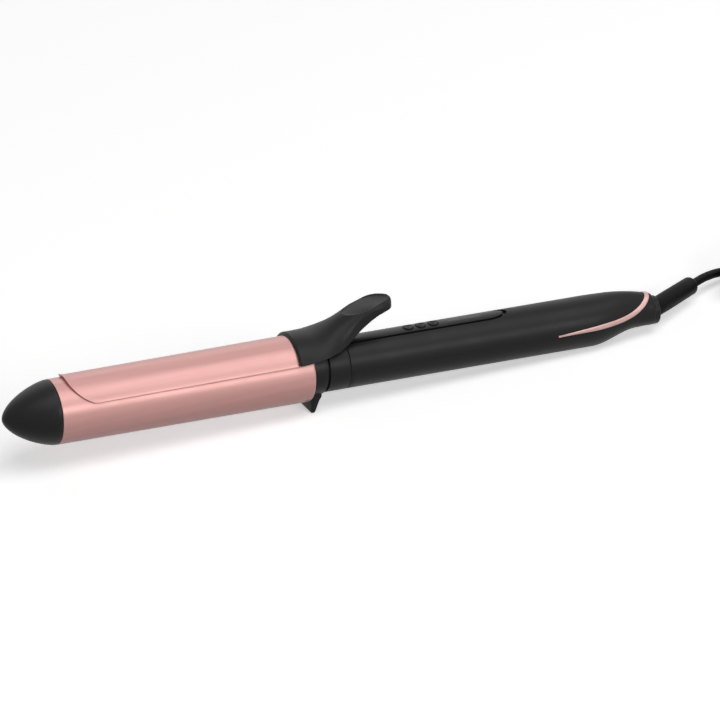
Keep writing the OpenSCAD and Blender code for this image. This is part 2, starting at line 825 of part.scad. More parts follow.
relief_turn = 33; // how far the relief points to the side
relief_l = 39;
relief_y = 2.6; // how far its root sits off the swivel's centre

module strain_relief() {
    r = relief_d / 2;
    d = [cos(relief_turn), sin(relief_turn), 0];
    root = [rotor_x + 1.2, relief_y, 0];
    // each ring: distance along the relief, radius, heading
    rings = [[4.2, r, d], [10, r, d], [20, r - 0.1, d], [relief_l - 7, r - 0.2, d],
        [relief_l - 3, r - 0.3, d], [relief_l, 0.6 * r, d]];
    color([0.08, 0.08, 0.08]) skin(concat(
        [ring_at([rotor_x, relief_y, 0], [1, 0, 0], r - 0.5, 16),
            ring_at(root, [1, 0, 0], r, 16)],
        [for (k = rings) ring_at(root + k[0] * d, k[2], k[1], 16)]));
}

cord_r = cord_d / 2;
coil_at = [287, 8, 0]; // centre of the coil on the table
coil_mean = 6 * cord_d;
coil_w = 3 * cord_d;

// the stretch from the strain relief to the coil, which lies along the table
lead_route = [[230.1, 23.8, 10.3], [235.2, 27.1, 10], [240.2, 30.4, 9.5],
    [248.6, 35.1, 8.1], [257.4, 38.8, 6.2], [265.4, 41.1, 4.6], [274.9, 42.7, 3.1],
    [283, 43, 2.5], [287, 43, 2.5]];
// the short stretch from the top of the coil to the plug
tail_route = [[255.3, 22.8, 12.5], [258.5, 28.2, 13.9], [262.3, 32.3, 15.5],
    [266.7, 35.2, 17], [271.4, 37, 18.5], [276.3, 37.7, 19.9], [281.4, 37.5, 20.9],
    [286.3, 36.2, 21.6], [291, 34, 21.9]];

module power_cord() {
    color([0.06, 0.06, 0.06]) swept(lead_route, cord_r);
}

module cord_tail() {
    color([0.06, 0.06, 0.06]) swept(tail_route, cord_r);
}

module cord_coil() {
    lo = coil_mean - coil_w / 2;
    hi = coil_mean + coil_w / 2;
    c = cord_r;
    color([0.08, 0.08, 0.08]) translate(coil_at) rotate_extrude() polygon([
        [lo, c], [lo + c, 0], [hi - c, 0], [hi, c], [hi, coil_w - c], [hi - c, coil_w],
        [lo + c, coil_w], [lo, coil_w - c]]);
}

tie_w = 9;
tie_t = 0.9;

module cord_tie() {
    lo = coil_mean - coil_w / 2;
    hi = coil_mean + coil_w / 2;
    color([0.1, 0.1, 0.1]) translate(coil_at) rotate([0, 0, -100]) difference() {
        block(lo - tie_t, hi + tie_t, -tie_w / 2, tie_w / 2, 0, coil_w + tie_t);
        block(lo, hi, -tie_w, tie_w, tie_t, coil_w);
    }
}

plug_at = [291, 34, coil_w + 6.9];
plug_turn = -30;
plug_l = 36;
plug_w = 35;
plug_t = 13.7;
pin_root = pin_d / 2 - 0.5; // the pins' moulded-in ends
pin_nose = 1.5; // the chamfer on the pins' free ends

module at_plug() {
    translate(plug_at) rotate([0, 0, plug_turn]) children();
}

// a rounded section of the plug: across, thick, and how square it is
function plug_ring(x, w, t, e) = [for (k = [0:23]) let(a = 15 * k, c = cos(a), s = sin(a))
    [x, w * sign(c) * pow(abs(c), e), t * sign(s) * pow(abs(s), e)]];

module plug_body() {
    color([0.07, 0.07, 0.07]) at_plug() difference() {
        skin([for (x = [0, 4, 8, 11, 14, 17, 20, 24, 30, plug_l - 1.2, plug_l])
            let(u = smooth((x - 6) / 16), edge = x == plug_l ? 0.9 : 0)
            plug_ring(x, mix(4, plug_w / 2, u) - edge, mix(4, plug_t / 2, u) - edge,
                mix(1, 0.55, u))]);
        pin_places() rod_x(pin_root, plug_l - 8, plug_l + 1);
    }
}

module pin_places() {
    for (s = [-1, 1]) translate([0, s * pin_pitch / 2, 0]) children();
}

module plug_pins() {
    color("gainsboro") at_plug() pin_places() {
        rod_x(pin_root, plug_l - 8, plug_l);
        rod_x(pin_d / 2, plug_l, plug_l + pin_l - pin_nose);
        translate([plug_l + pin_l - pin_nose, 0, 0]) rotate([0, 90, 0])
            cylinder(r1 = pin_d / 2, r2 = pin_d / 2 - 0.8, h = pin_nose);
    }
}

on_table() cool_tip();
on_table() tip_carrier();
on_table() tip_screw();
on_table() barrel_tube();
on_table() heat_spreaders();
on_table() heater_plates();
on_table() heater_spring();
on_table() temperature_sensor();
on_table() thermal_fuse();
on_table() heater_leads();
on_table() barrel_plug();
on_table() barrel_screws();
on_table() clip_plate();
on_table() clip_lever();
on_table() clip_screws();
on_table() pivot_pin();
on_table() clip_spring();
on_table() stand_ring();
on_table() barrel_collar();
on_table() upper_shell();
on_table() lower_shell();
on_table() tail_trim();
on_table() shell_screws();
on_table() control_panel();
on_table() minus_button();
on_table() plus_button();
on_table() power_button();
on_table() light_window();
on_table() status_lights();
on_table() button_switches();
on_table() circuit_board();
on_table() board_parts();
on_table() board_screws();
on_table() mains_leads();
on_table() brush_contacts();
on_table() swivel_rotor();
on_table() slip_rings();
on_table() strain_relief();
power_cord();
cord_coil();
cord_tail();
cord_tie();
plug_body();
plug_pins();
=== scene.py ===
"""A curling iron, modelled and finished around its construction.

Pieces are drawn in millimetres along the iron itself, with x = 0 at the barrel's rear
face and z upwards, and the IRON matrix lays them on the table in metres.
"""

import json
from math import asin, copysign, cos, pi, radians, sin, sqrt

import bmesh
import bpy
import numpy as np
from mathutils import Matrix, Vector


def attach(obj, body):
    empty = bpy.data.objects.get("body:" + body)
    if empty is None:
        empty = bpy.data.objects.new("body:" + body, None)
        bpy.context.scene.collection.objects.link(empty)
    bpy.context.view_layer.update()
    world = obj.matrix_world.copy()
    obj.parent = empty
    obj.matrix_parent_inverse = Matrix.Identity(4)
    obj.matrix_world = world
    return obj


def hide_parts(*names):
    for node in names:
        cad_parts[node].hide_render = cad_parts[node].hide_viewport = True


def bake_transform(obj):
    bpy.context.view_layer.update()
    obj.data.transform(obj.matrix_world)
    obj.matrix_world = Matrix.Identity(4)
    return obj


bl_info = {
    "name": "Curling Iron",
    "version": (1, 0, 0),
    "blender": (4, 5, 0),
    "location": "3D View > Sidebar > Iron",
    "description": "Models and finishes a curling iron around its construction",
    "category": "Object",
}

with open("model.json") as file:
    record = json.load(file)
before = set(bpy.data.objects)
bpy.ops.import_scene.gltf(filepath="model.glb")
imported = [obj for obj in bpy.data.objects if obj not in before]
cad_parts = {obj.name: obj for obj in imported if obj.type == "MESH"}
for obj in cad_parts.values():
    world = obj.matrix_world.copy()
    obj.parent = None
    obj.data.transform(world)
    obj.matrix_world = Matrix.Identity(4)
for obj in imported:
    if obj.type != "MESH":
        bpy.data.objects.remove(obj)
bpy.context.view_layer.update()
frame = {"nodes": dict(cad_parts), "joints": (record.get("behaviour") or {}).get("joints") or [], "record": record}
NODES = frame["nodes"]
JOINTS = {joint["name"]: joint for joint in frame["joints"]}
MM = 0.001


def ease(x, start, end):
    """0 up to start and 1 from end on, level at both."""
    t = min(max((x - start) / (end - start), 0.0), 1.0)
    return t * t * (3 - 2 * t)


def mix(a, b, t):
    return a + (b - a) * t


# ---- where things are: read from the construction ----


def iron_matrix():
    """The iron's own frame in millimetres: x along the barrel from its rear face."""
    along = Vector(JOINTS["cord_swivel"]["axis"]).normalized()
    across = Vector((0, 1, 0))
    on_axis = Vector(JOINTS["cord_swivel"]["pos_m"])
    rear = max((v.co - on_axis).dot(along) for v in NODES["barrel_tube"].data.vertices)
    turn = Matrix((along, across, along.cross(across))).transposed().to_4x4()
    return Matrix.Translation(on_axis + rear * along) @ turn @ Matrix.Scale(MM, 4)


IRON = iron_matrix()
TO_IRON = IRON.inverted()
TABLE = Matrix.Scale(MM, 4)


def span(node):
    """Lowest and highest corners of a node in the iron's own frame, in millimetres."""
    corners = np.array([TO_IRON @ v.co for v in NODES[node].data.vertices])
    return corners.min(0), corners.max(0)


def ends(node):
    """Where a node starts and ends along the iron."""
    low, high = span(node)
    return low[0], high[0]


def table_z(x):
    """Height of the table under the iron, at x along the iron."""
    down = TO_IRON @ Vector((0, 0, 0))
    slope = TO_IRON.to_3x3() @ Vector((1, 0, 0))
    return down.z + (x - down.x) * slope.z / slope.x


BARREL_R = span("barrel_tube")[1][2]
BARREL_L = -ends("barrel_tube")[0]
TIP_END = ends("cool_tip")[0]
LEVER_FRONT, LEVER_BACK = ends("clip_lever")
LEVER_TOP = span("clip_lever")[1][2]
RING_W = ends("stand_ring")[1]
COLLAR_L = ends("upper_shell")[0]
HANDLE_R = span("lower_shell")[1][1]
SOCKET_END = ends("lower_shell")[1]
PANEL_FRONT, PANEL_BACK = ends("control_panel")
ROTOR_X = ends("swivel_rotor")[1]
PIVOT = TO_IRON @ Vector(JOINTS["clip_open"]["pos_m"])
RELIEF_L = 39  # length of the strain relief beyond its root
TAIL_L = 37  # length of the handle's shaped end
END_X = SOCKET_END - 3
TAIL_X = END_X - TAIL_L
RING_R = HANDLE_R + 0.6
NECK_R = RING_R - 2.4
PANEL_TAPER = 11  # length of the control strip's tapered end
GROOVE_DEPTH = 1.5  # of the groove for the strip, in a wall of 2
CLEARANCE = 0.3  # between the barrel and the clip


# ---- sizes and colours that a user would change ----


def length_property(name, description, default, low, high):
    """A length, given here in millimetres."""
    return bpy.props.FloatProperty(name=name, description=description, default=default * MM,
                                   min=low * MM, max=high * MM, unit="LENGTH",
                                   subtype="DISTANCE")


def colour_property(name, description, default):
    return bpy.props.FloatVectorProperty(name=name, description=description,
                                         default=default, size=3, min=0, max=1,
                                         subtype="COLOR")


class IronSizes(bpy.types.PropertyGroup):
    """Sizes of details that the construction leaves open."""

    plate_wall: length_property("Clip plate", "Thickness of the clip plate", 0.8, 0.5, 1.2)
    plate_rise: length_property("Clip rise", "Lift of the clip plate's hinge end", 1.1, 0, 1.4)
    plate_lip: length_property("Clip lip", "Curl of the clip plate's free edge", 0.7, 0, 1.5)
    plate_start: length_property("Clip start", "Bare barrel in front of the clip plate",
                                 7.0, 5.5, 12)
    dish: length_property("Thumb dish", "Depth of the dish in the thumb pad", 2.3, 1, 3)
    trim_width: length_property("Trim width", "Greatest width of the metallic trim",
                                2.8, 1.5, 3.4)
    cord_width: length_property("Cord", "Diameter of the mains cord", 5, 4.6, 5.4)
    cord_length: length_property("Cord length", "Free length of the mains cord",
                                 1595, 1000, 2500)


class IronColours(bpy.types.PropertyGroup):
    """Colours of the finishes."""

    coating: colour_property("Barrel", "Rose coating of barrel and clip",
                             (0.82, 0.43, 0.40))
    trim: colour_property("Trim", "Metallic trim on the handle", (0.80, 0.50, 0.47))
    plastic: colour_property("Plastic", "Satin plastic of handle, lever and tip",
                             (0.012, 0.012, 0.012))
    strip: colour_property("Strip", "Control strip", (0.010, 0.010, 0.010))
    cord: colour_property("Cord", "Cord, relief and plug", (0.005, 0.005, 0.005))
    floor: colour_property("Floor", "Studio floor", (0.95, 0.95, 0.95))


# ---- meshes ----


HALF_TURN = np.radians((30, 60, 90, 120, 150))  # steps round a thin edge
EDGE_BEAD = 0.12  # how far the edge of a curved sheet is rounded out


def soften(corners, steps=6):
    """An outline whose corners (a, b, radius) are rounded by that radius."""
    points = []
    for k, corner in enumerate(corners):
        here = Vector(corner[:2])
        radius = corner[2] if len(corner) > 2 else 0
        if not radius:
            points.append(tuple(here))
            continue
        before = Vector(corners[k - 1][:2]) - here
        after = Vector(corners[(k + 1) % len(corners)][:2]) - here
        start = here + before.normalized() * min(radius, before.length / 2)
        end = here + after.normalized() * min(radius, after.length / 2)
        for t in np.linspace(0, 1, steps):
            points.append(tuple((1 - t) ** 2 * start + 2 * t * (1 - t) * here + t * t * end))
    return points


def lathe(outline, steps=128):
    """Points and faces of a closed outline (radius, x) turned about the x axis."""
    points, rows, faces = [], [], []
    for radius, x in outline:
        turns = [2 * pi * k / steps for k in range(steps if radius > 1e-6 else 1)]
        rows.append([len(points) + k % len(turns) for k in range(steps)])
        points += [(x, radius * sin(a), radius * cos(a)) for a in turns]
    for row, after in zip(rows, rows[1:] + rows[:1]):
        for i in range(steps):
            j = (i + 1) % steps
            face = tuple(dict.fromkeys((row[i], row[j], after[j], after[i])))
            if len(face) > 2:  # on the axis, the corners of a face fall together
                faces.append(face)
    return points, faces


def loft(rings, closed=False):
    """Points and faces of a skin over rings of equal length, with flat ends."""
    n = len(rings[0])
    points = [p for ring in rings for p in ring]
    pairs = [(j, j + 1) for j in range(len(rings) - 1)]
    if closed:
        pairs.append((len(rings) - 1, 0))
    faces = [(a * n + i, a * n + (i + 1) % n, b * n + (i + 1) % n, b * n + i)
             for a, b in pairs for i in range(n)]
    if not closed:
        faces.append(tuple(range(n - 1, -1, -1)))
        faces.append(tuple(range((len(rings) - 1) * n, len(rings) * n)))
    return points, faces


def prism(outline, y0, y1):
    """A side outline (x, z) drawn out from y0 to y1."""
    return loft([[(x, y, z) for x, z in outline] for y in (y0, y1)])


def band_ring(x, half, outer, inner, steps, lift=0.0):
    """A section of a curved sheet: out along its outside, back along its inside."""
    middle, wall = (outer + inner) / 2, (outer - inner) / 2
    edge = [(middle + wall * cos(b), half + EDGE_BEAD * sin(b) / middle)
            for b in HALF_TURN]
    path = [(outer, a) for a in np.linspace(-half, half, steps)] + edge
    path += [(inner, a) for a in np.linspace(half, -half, steps)]
    path += [(r, -a) for r, a in reversed(edge)]
    return [(x, r * sin(a), r * cos(a) + lift) for r, a in path]


def tube_rings(route, radius, sides):
    """Round sections along a route, turned as little as possible from one to the next."""
    route = [Vector(p) for p in route]
    normal, rings = None, []
    for k, here in enumerate(route):
        along = (route[min(k + 1, len(route) - 1)] - route[max(k - 1, 0)]).normalized()
        if normal is None:
            normal = along.orthogonal().normalized()
        normal = (normal - along * normal.dot(along)).normalized()
        side = along.cross(normal)
        r = radius[k] if hasattr(radius, "__len__") else radius
        rings.append([tuple(here + r * (cos(a) * normal + sin(a) * side))
                      for a in np.linspace(0, 2 * pi, sides, endpoint=False)])
    return rings


def add_object(name, data):
    """An object in the scene."""
    thing = bpy.data.objects.new(name, data)
    bpy.context.scene.collection.objects.link(thing)
    return thing


def mesh_object(name, parts, place=IRON, sharp=32):
    """One object from (points, faces) parts, with outward faces and smooth shading."""
    form = bmesh.new()
    for points, faces in parts:
        verts = [form.verts.new(p) for p in points]
        for face in faces:
            form.faces.new([verts[i] for i in face])
    bmesh.ops.recalc_face_normals(form, faces=form.faces)
    mesh = bpy.data.meshes.new(name)
    form.to_mesh(mesh)
    form.free()
    mesh.transform(place)
    mesh.shade_smooth()
    mesh.set_sharp_from_angle(angle=radians(sharp))
    return add_object(name, mesh)


def apply_modifiers(thing, sharp):
    """Fixes what the modifiers make as the object's own mesh."""
    bpy.context.view_layer.update()
    shaped = thing.evaluated_get(bpy.context.evaluated_depsgraph_get())
    mesh = bpy.data.meshes.new_from_object(shaped)
    thing.modifiers.clear()
    thing.data = mesh
    mesh.set_sharp_from_angle(angle=radians(sharp))


def carve(thing, cutter, operation="DIFFERENCE", sharp=32):
    """Cuts one solid with another, which is used up."""
    cut = thing.modifiers.new("cut", "BOOLEAN")
    cut.operation, cut.object, cut.solver = operation, cutter, "EXACT"
    apply_modifiers(thing, sharp)
    bpy.data.objects.remove(cutter)


def bevel(thing, width):
    """Rounds the sharp edges of a piece; the width is in millimetres."""
    edge = thing.modifiers.new("edge", "BEVEL")
    edge.width, edge.segments = width * MM, 3
    edge.limit_method, edge.angle_limit = "ANGLE", radians(30)
    edge.use_clamp_overlap = True
    apply_modifiers(thing, 40)


def join(thing, other):
    """Takes another mesh into a piece."""
    form = bmesh.new()
    for source in (thing, other):
        form.from_mesh(source.data)
    form.to_mesh(thing.data)
    form.free()
    bpy.data.objects.remove(other)
    thing.data.shade_smooth()
    thing.data.set_sharp_from_angle(angle=radians(42))
    return thing


def settle(thing, body, slot, *nodes):
    """Gives a piece its finish and its body, in place of the nodes it stands for."""
    thing.data.materials.clear()
    thing.data.materials.append(FINISHES[slot])
    if body:
        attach(thing, body)
    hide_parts(*nodes)
    return thing


# ---- materials ----


class Signal:
    """A shader socket that can be written in formulas."""

    def __init__(self, nodes, socket):
        self.nodes, self.socket = nodes, socket

    def _maths(self, operation, other):
        return self.nodes.node("ShaderNodeMath", {"operation": operation}, self, other)

    def __add__(self, other):
        return self._maths("ADD", other)

    def __mul__(self, other):
        return self._maths("MULTIPLY", other)

    __radd__ = __add__
    __rmul__ = __mul__


class Nodes:
    """The nodes of a material or of the world."""

    def __init__(self, tree):
        self.tree = tree

    def feed(self, made, *values, **named):
        """Sets or links a node's sockets by name or by order, where None skips one."""
        pairs = [pair for pair in zip(made.inputs, values) if pair[1] is not None]
        pairs += [(made.inputs[key.replace("_", " ")], named[key]) for key in named]
        for socket, value in pairs:
            if isinstance(value, Signal):
                self.tree.links.new(value.socket, socket)
            elif socket.type == "RGBA":
                socket.default_value = (*value, 1)
            else:
                socket.default_value = value

    def node(self, kind, settings=None, *values, output=0, **named):
        """Adds a node, its settings before its sockets, and gives one of its outputs."""
        made = self.tree.nodes.new(kind)
        for key, value in (settings or {}).items():
            setattr(made, key, value)
        self.feed(made, *values, **named)
        return Signal(self, made.outputs[output])

    def ramp(self, value, low, high, start=0.0, end=1.0):
        """A value that goes from start to end while another goes from low to high."""
        return self.node("ShaderNodeMapRange", {"clamp": True}, value, low, high, start, end)

    def sees_background(self):
        """1 for rays that see the background itself: from the camera, mirrors and glass."""
        seen = 0
        for kind in ("Camera", "Glossy", "Transmission"):
            ray = self.node("ShaderNodeLightPath", output="Is " + kind + " Ray")
            seen = self.node("ShaderNodeMath", {"operation": "MAXIMUM"}, ray, seen)
        return seen


class Finish(Nodes):
    """A material under construction."""

    def __init__(self, name):
        self.material = bpy.data.materials.new(name)
        self.material.use_nodes = True
        super().__init__(self.material.node_tree)
        self.shader = self.tree.nodes["Principled BSDF"]

    def place(self):
        """A point on the piece, in metres in the frame's own axes."""
        return self.node("ShaderNodeTexCoord", output="Object")

    def noise(self, scale, detail, stretch=(1, 1, 1)):
        where = self.node("ShaderNodeVectorMath", {"operation": "MULTIPLY"},
                          self.place(), stretch)
        return self.node("ShaderNodeTexNoise", Vector=where, Scale=scale, Detail=detail,
                         Roughness=0.55)

    def tint(self, factor, first, second):
        """A colour between two. The node's colours come after five sockets it hides."""
        return self.node("ShaderNodeMix", {"data_type": "RGBA"}, factor, *[None] * 5,
                         first, second, output=2)

    def shades(self, factor, colour, low, high):
        """A colour between two shades of itself."""
        return self.tint(factor, shade(colour, low), shade(colour, high))

    def bump(self, height, strength, distance):
        return self.node("ShaderNodeBump", Strength=strength, Distance=distance,
                         Height=height)

    def surface(self, **sockets):
        self.feed(self.shader, **sockets)
        return self.material


def shade(colour, factor):
    """A lighter or darker version of a colour."""
    return tuple(min(c * factor, 1) for c in colour)


def coated(name, colour, metallic=0.2, roughness=0.36):
    """Baked rose coating over metal: a fine speckle and faint lines along the barrel, whose darker and lighter
    streaks in the colour are partly painted reflection of light and dark bands.
    """
    finish = Finish(name)
    speckle = finish.noise(2600, 3)
    # faint lines along the barrel in the coat; their streaks in the colour are also a painted reflection of light
    # and dark bands
    lines = finish.noise(300, 3, (0.01, 1, 1))
    wear = finish.ramp(finish.noise(38, 4), 0.35, 0.7)
    # the lines' share of this colour is partly painted reflection, partly the coat's own faint lines
    base = finish.shades(speckle * 0.2 + lines * 0.8, colour, 0.8, 1.16)
    return finish.surface(
        Base_Color=finish.tint(wear * 0.3, base, shade(colour, 0.94)),
        Metallic=metallic,
        Roughness=lines * 0.08 + wear * 0.04 + (roughness - 0.06),
        Specular_IOR_Level=0.3,
        Coat_Weight=0.1,
        Coat_Roughness=0.3,
        Normal=finish.bump(speckle * 0.5 + lines, 0.08, 0.00004))


def plastic(name, colour, roughness=0.4, grain=0.12):
    """Moulded plastic with a fine eroded grain and handling marks."""
    finish = Finish(name)
    pits = finish.noise(4200, 2)
    handled = finish.ramp(finish.noise(60, 4), 0.4, 0.65)
    return finish.surface(
        Base_Color=finish.shades(handled * 0.5 + pits * 0.3, colour, 0.9, 1.2),
        Roughness=handled * -0.05 + pits * 0.05 + roughness,
        Specular_IOR_Level=0.17,
        Normal=finish.bump(pits, grain, 0.00005))


def metal(name, colour, roughness):
    """Bare metal with the marks of drawing or rolling along one direction."""
    finish = Finish(name)
    marks = finish.noise(1800, 3, (0.05, 1, 1))
    return finish.surface(
        Base_Color=finish.shades(marks, colour, 0.85, 1.05),
        Metallic=1.0,
        Roughness=marks * 0.15 + (roughness - 0.07),
        Normal=finish.bump(marks, 0.08, 0.00003))


def rubbery(name, colour):
    """Flexible moulded PVC: a soft sheen, faint draw lines and dust."""
    finish = Finish(name)
    grain = finish.noise(3000, 3)
    dust = finish.ramp(finish.noise(90, 5), 0.5, 0.75)
    return finish.surface(
        Base_Color=finish.shades(dust * 0.4, colour, 1, 2.2),
        Roughness=grain * 0.1 + dust * 0.06 + 0.45,
        Specular_IOR_Level=0.08,
        Normal=finish.bump(grain, 0.1, 0.00004))


def ceramic(name, colour, roughness=0.6):
    """Unglazed technical ceramic with a sintered grain."""
    finish = Finish(name)
    grain = finish.noise(1500, 4)
    return finish.surface(
        Base_Color=finish.shades(grain, colour, 0.88, 1),
        Roughness=grain * 0.1 + roughness,
        Normal=finish.bump(grain, 0.2, 0.0001))


def sleeving(name, colour):
    """Woven glass sleeving over a wire."""
    finish = Finish(name)
    weave = finish.node("ShaderNodeTexWave", {"bands_direction": "DIAGONAL"},
                        Vector=finish.place(), Scale=420.0, Distortion=1.5)
    return finish.surface(
        Base_Color=finish.shades(weave, colour, 0.8, 1),
        Roughness=0.65,
        Normal=finish.bump(weave, 0.4, 0.0001))


def glassy(name, colour, roughness=0.08):
    """Tinted clear moulding with faint flow lines."""
    finish = Finish(name)
    flow = finish.noise(240, 3, (0.3, 1, 1))
    return finish.surface(
        Base_Color=finish.shades(flow, colour, 0.8, 1.2),
        Roughness=flow * 0.06 + roughness,
        Specular_IOR_Level=0.35)


def laminate(name, colour):
    """Circuit board: solder mask over copper tracks and glass weave."""
    finish = Finish(name)
    tracks = finish.node("ShaderNodeTexVoronoi", {"distance": "CHEBYCHEV"},
                         Vector=finish.place(), Scale=260.0)
    lines = finish.ramp(tracks, 0.2, 0.32)
    weave = finish.noise(1800, 2, (1, 0.2, 1))
    return finish.surface(
        Base_Color=finish.shades(lines, colour, 2.0, 1),
        Roughness=weave * 0.1 + 0.3,
        Normal=finish.bump(lines + weave * 0.2, 0.2, 0.00006))


FINISHES = {}


def make_finishes(colours):
    """One material for each finish on the iron, under the construction's slot names."""
    FINISHES.update({
        "coated_metal": coated("rose_coating", colours.coating),
        "rose_trim": coated("rose_trim", colours.trim, 0.3, 0.4),
        "black_plastic": plastic("satin_black", colours.plastic),
        "gloss_black": plastic("strip_black", colours.strip, 0.3, 0.05),
        "smoked_window": glassy("smoked_window", (0.012, 0.010, 0.010), 0.3),
        "button_plastic": plastic("button_black", shade(colours.plastic, 1.5), 0.38, 0.08),
        "soft_black": rubbery("soft_black", colours.cord),
        "grey_plastic": plastic("grey_plastic", (0.12, 0.12, 0.12), 0.45),
        "white_plastic": plastic("white_plastic", (0.72, 0.72, 0.70), 0.4),
        "bright_metal": metal("nickel_plate", (0.78, 0.77, 0.74), 0.18),
        "steel": metal("steel", (0.62, 0.62, 0.62), 0.3),
        "bare_aluminium": metal("bare_aluminium", (0.75, 0.76, 0.77), 0.38),
        "white_ceramic": ceramic("white_ceramic", (0.78, 0.76, 0.70)),
        "amber_glass": glassy("amber_glass", (0.6, 0.22, 0.04)),
        "lead_sleeve": sleeving("lead_sleeve", (0.75, 0.74, 0.7)),
        "heatproof_plastic": ceramic("heatproof_plastic", (0.5, 0.38, 0.26), 0.45),
        "green_board": laminate("green_board", (0.015, 0.09, 0.03)),
        "brass": metal("brass", (0.72, 0.52, 0.22), 0.25),
    })


# ---- barrel, tip and clip ----


def tip_radius(s):
    """Radius of the cool tip at a share s of its length."""
    return BARREL_R * (1 - s ** 1.4) ** (1 / 1.7)


def tip_shares(first, last, steps):
    """Shares of the tip's length, closer together towards its point."""
    return [1 - (1 - t) ** 1.6 for t in np.linspace(first, last, steps)]


def build_tip():
    """The cool tip, hollow, with its spigot inside the barrel."""
    length, seam, wall = -TIP_END - BARREL_L, 0.35, 2.4
    nose = [(tip_radius(s), -BARREL_L - seam - s * (length - seam))
            for s in tip_shares(0.02, 0.995, 40)]
    inner = [(tip_radius(s) - wall, -BARREL_L - s * (length - wall))
             for s in tip_shares(0.9, 0.05, 20) if tip_radius(s) > wall]
    spigot, base, spigot_end = BARREL_R - 1.25, -BARREL_L - 0.1, -BARREL_L + 6.4
    outline = [(0, TIP_END)] + nose[::-1] + soften(
        [(BARREL_R - 0.02, base, 0.3), (spigot, base), (spigot, spigot_end, 0.4),
         (spigot - 2, spigot_end, 0.4), (spigot - 2, -BARREL_L - 1)])
    return mesh_object("tip_cap", [lathe(outline + inner[::-1] + [(0, inner[0][1])])],
                       sharp=40)


def build_barrel():
    """The heated tube with its rolled rear rim."""
    wall, hole = 1.2, BARREL_R - 5.5
    outline = soften([(BARREL_R - wall, -BARREL_L), (BARREL_R, -BARREL_L, 0.3),
                      (BARREL_R, 0, 1.3), (hole, 0, 0.3), (hole, -wall, 0.3),
                      (BARREL_R - wall, -wall, 1.2)], 10)
    return mesh_object("barrel_sleeve", [lathe(outline, 160)])


def build_plate(sizes):
    """The clip plate: a curved sheet with round front corners and a curled free edge."""
    wall, rise, lip = sizes.plate_wall / MM, sizes.plate_rise / MM, sizes.plate_lip / MM
    edge, tucked = radians(63.5), radians(32)  # half angles, in front and at the lever
    corner_share, corner_l = 0.74, 14.6  # a corner's share of the half width, its length
    lip_l, tuck_l = 5, 4
    inner = BARREL_R + CLEARANCE
    front, rear = sizes.plate_start / MM - BARREL_L, ends("clip_plate")[1]
    narrow = LEVER_FRONT + 4

    def half(x):
        if x >= narrow:
            return mix(edge, tucked, ease(x, narrow, narrow + tuck_l))
        turn = min((x - front) / corner_l, 1)
        round_off = sqrt(max(1 - (1 - turn) ** 2, 0))
        return asin(sin(edge) * (1 - corner_share + corner_share * round_off))

    def curl(x):
        return lip * max(1 - (x - front) / lip_l, 0) ** 2

    stations = [front + corner_l * t ** 2 for t in np.linspace(0, 1, 40)]
    stations += list(np.linspace(front + corner_l, narrow, 24)[1:])
    stations += list(np.linspace(narrow, rear, 16)[1:])
    rings = [band_ring(x, half(x), inner + wall + curl(x), inner + curl(x), 48,
                       rise * (x - front) / -front) for x in stations]
    return mesh_object("clip_blade", [loft(rings)], sharp=50)


def lever_shape(sizes):
    """The lever's curves along x: top, lower edge, half width, arch and hollow."""
    half_angle, wall, pad_half, pad_t = radians(59.5), 1.8, 9.2, 5
    radius = BARREL_R + CLEARANCE + (sizes.plate_wall + sizes.plate_rise) / MM + wall
    skirt, bend = radius * cos(half_angle), 2.9
    lift = LEVER_TOP - pad_t - skirt - bend

    def top(x):
        return mix(radius, LEVER_TOP, ease(x, 1, 42))

    def edge(x):
        return skirt + bend * ease(x, -8, 16) + lift * ease(x, 14, 48)

    def side(x):
        beyond = x - LEVER_BACK - 0.1 + pad_half
        if beyond > 0:
            return pad_half * sqrt(max(1 - (beyond / (pad_half + 0.3)) ** 2, 0.0004))
        return mix(radius * sin(half_angle), pad_half, ease(x, 3, 33))

    def arch(x):
        return mix(half_angle, radians(84), ease(x, 5, 35))

    def hollow(x):
        return mix(top(x) - wall, edge(x) + 0.9, ease(x, PIVOT.x + 8, PIVOT.x + 15))

    return top, edge, side, arch, hollow, wall


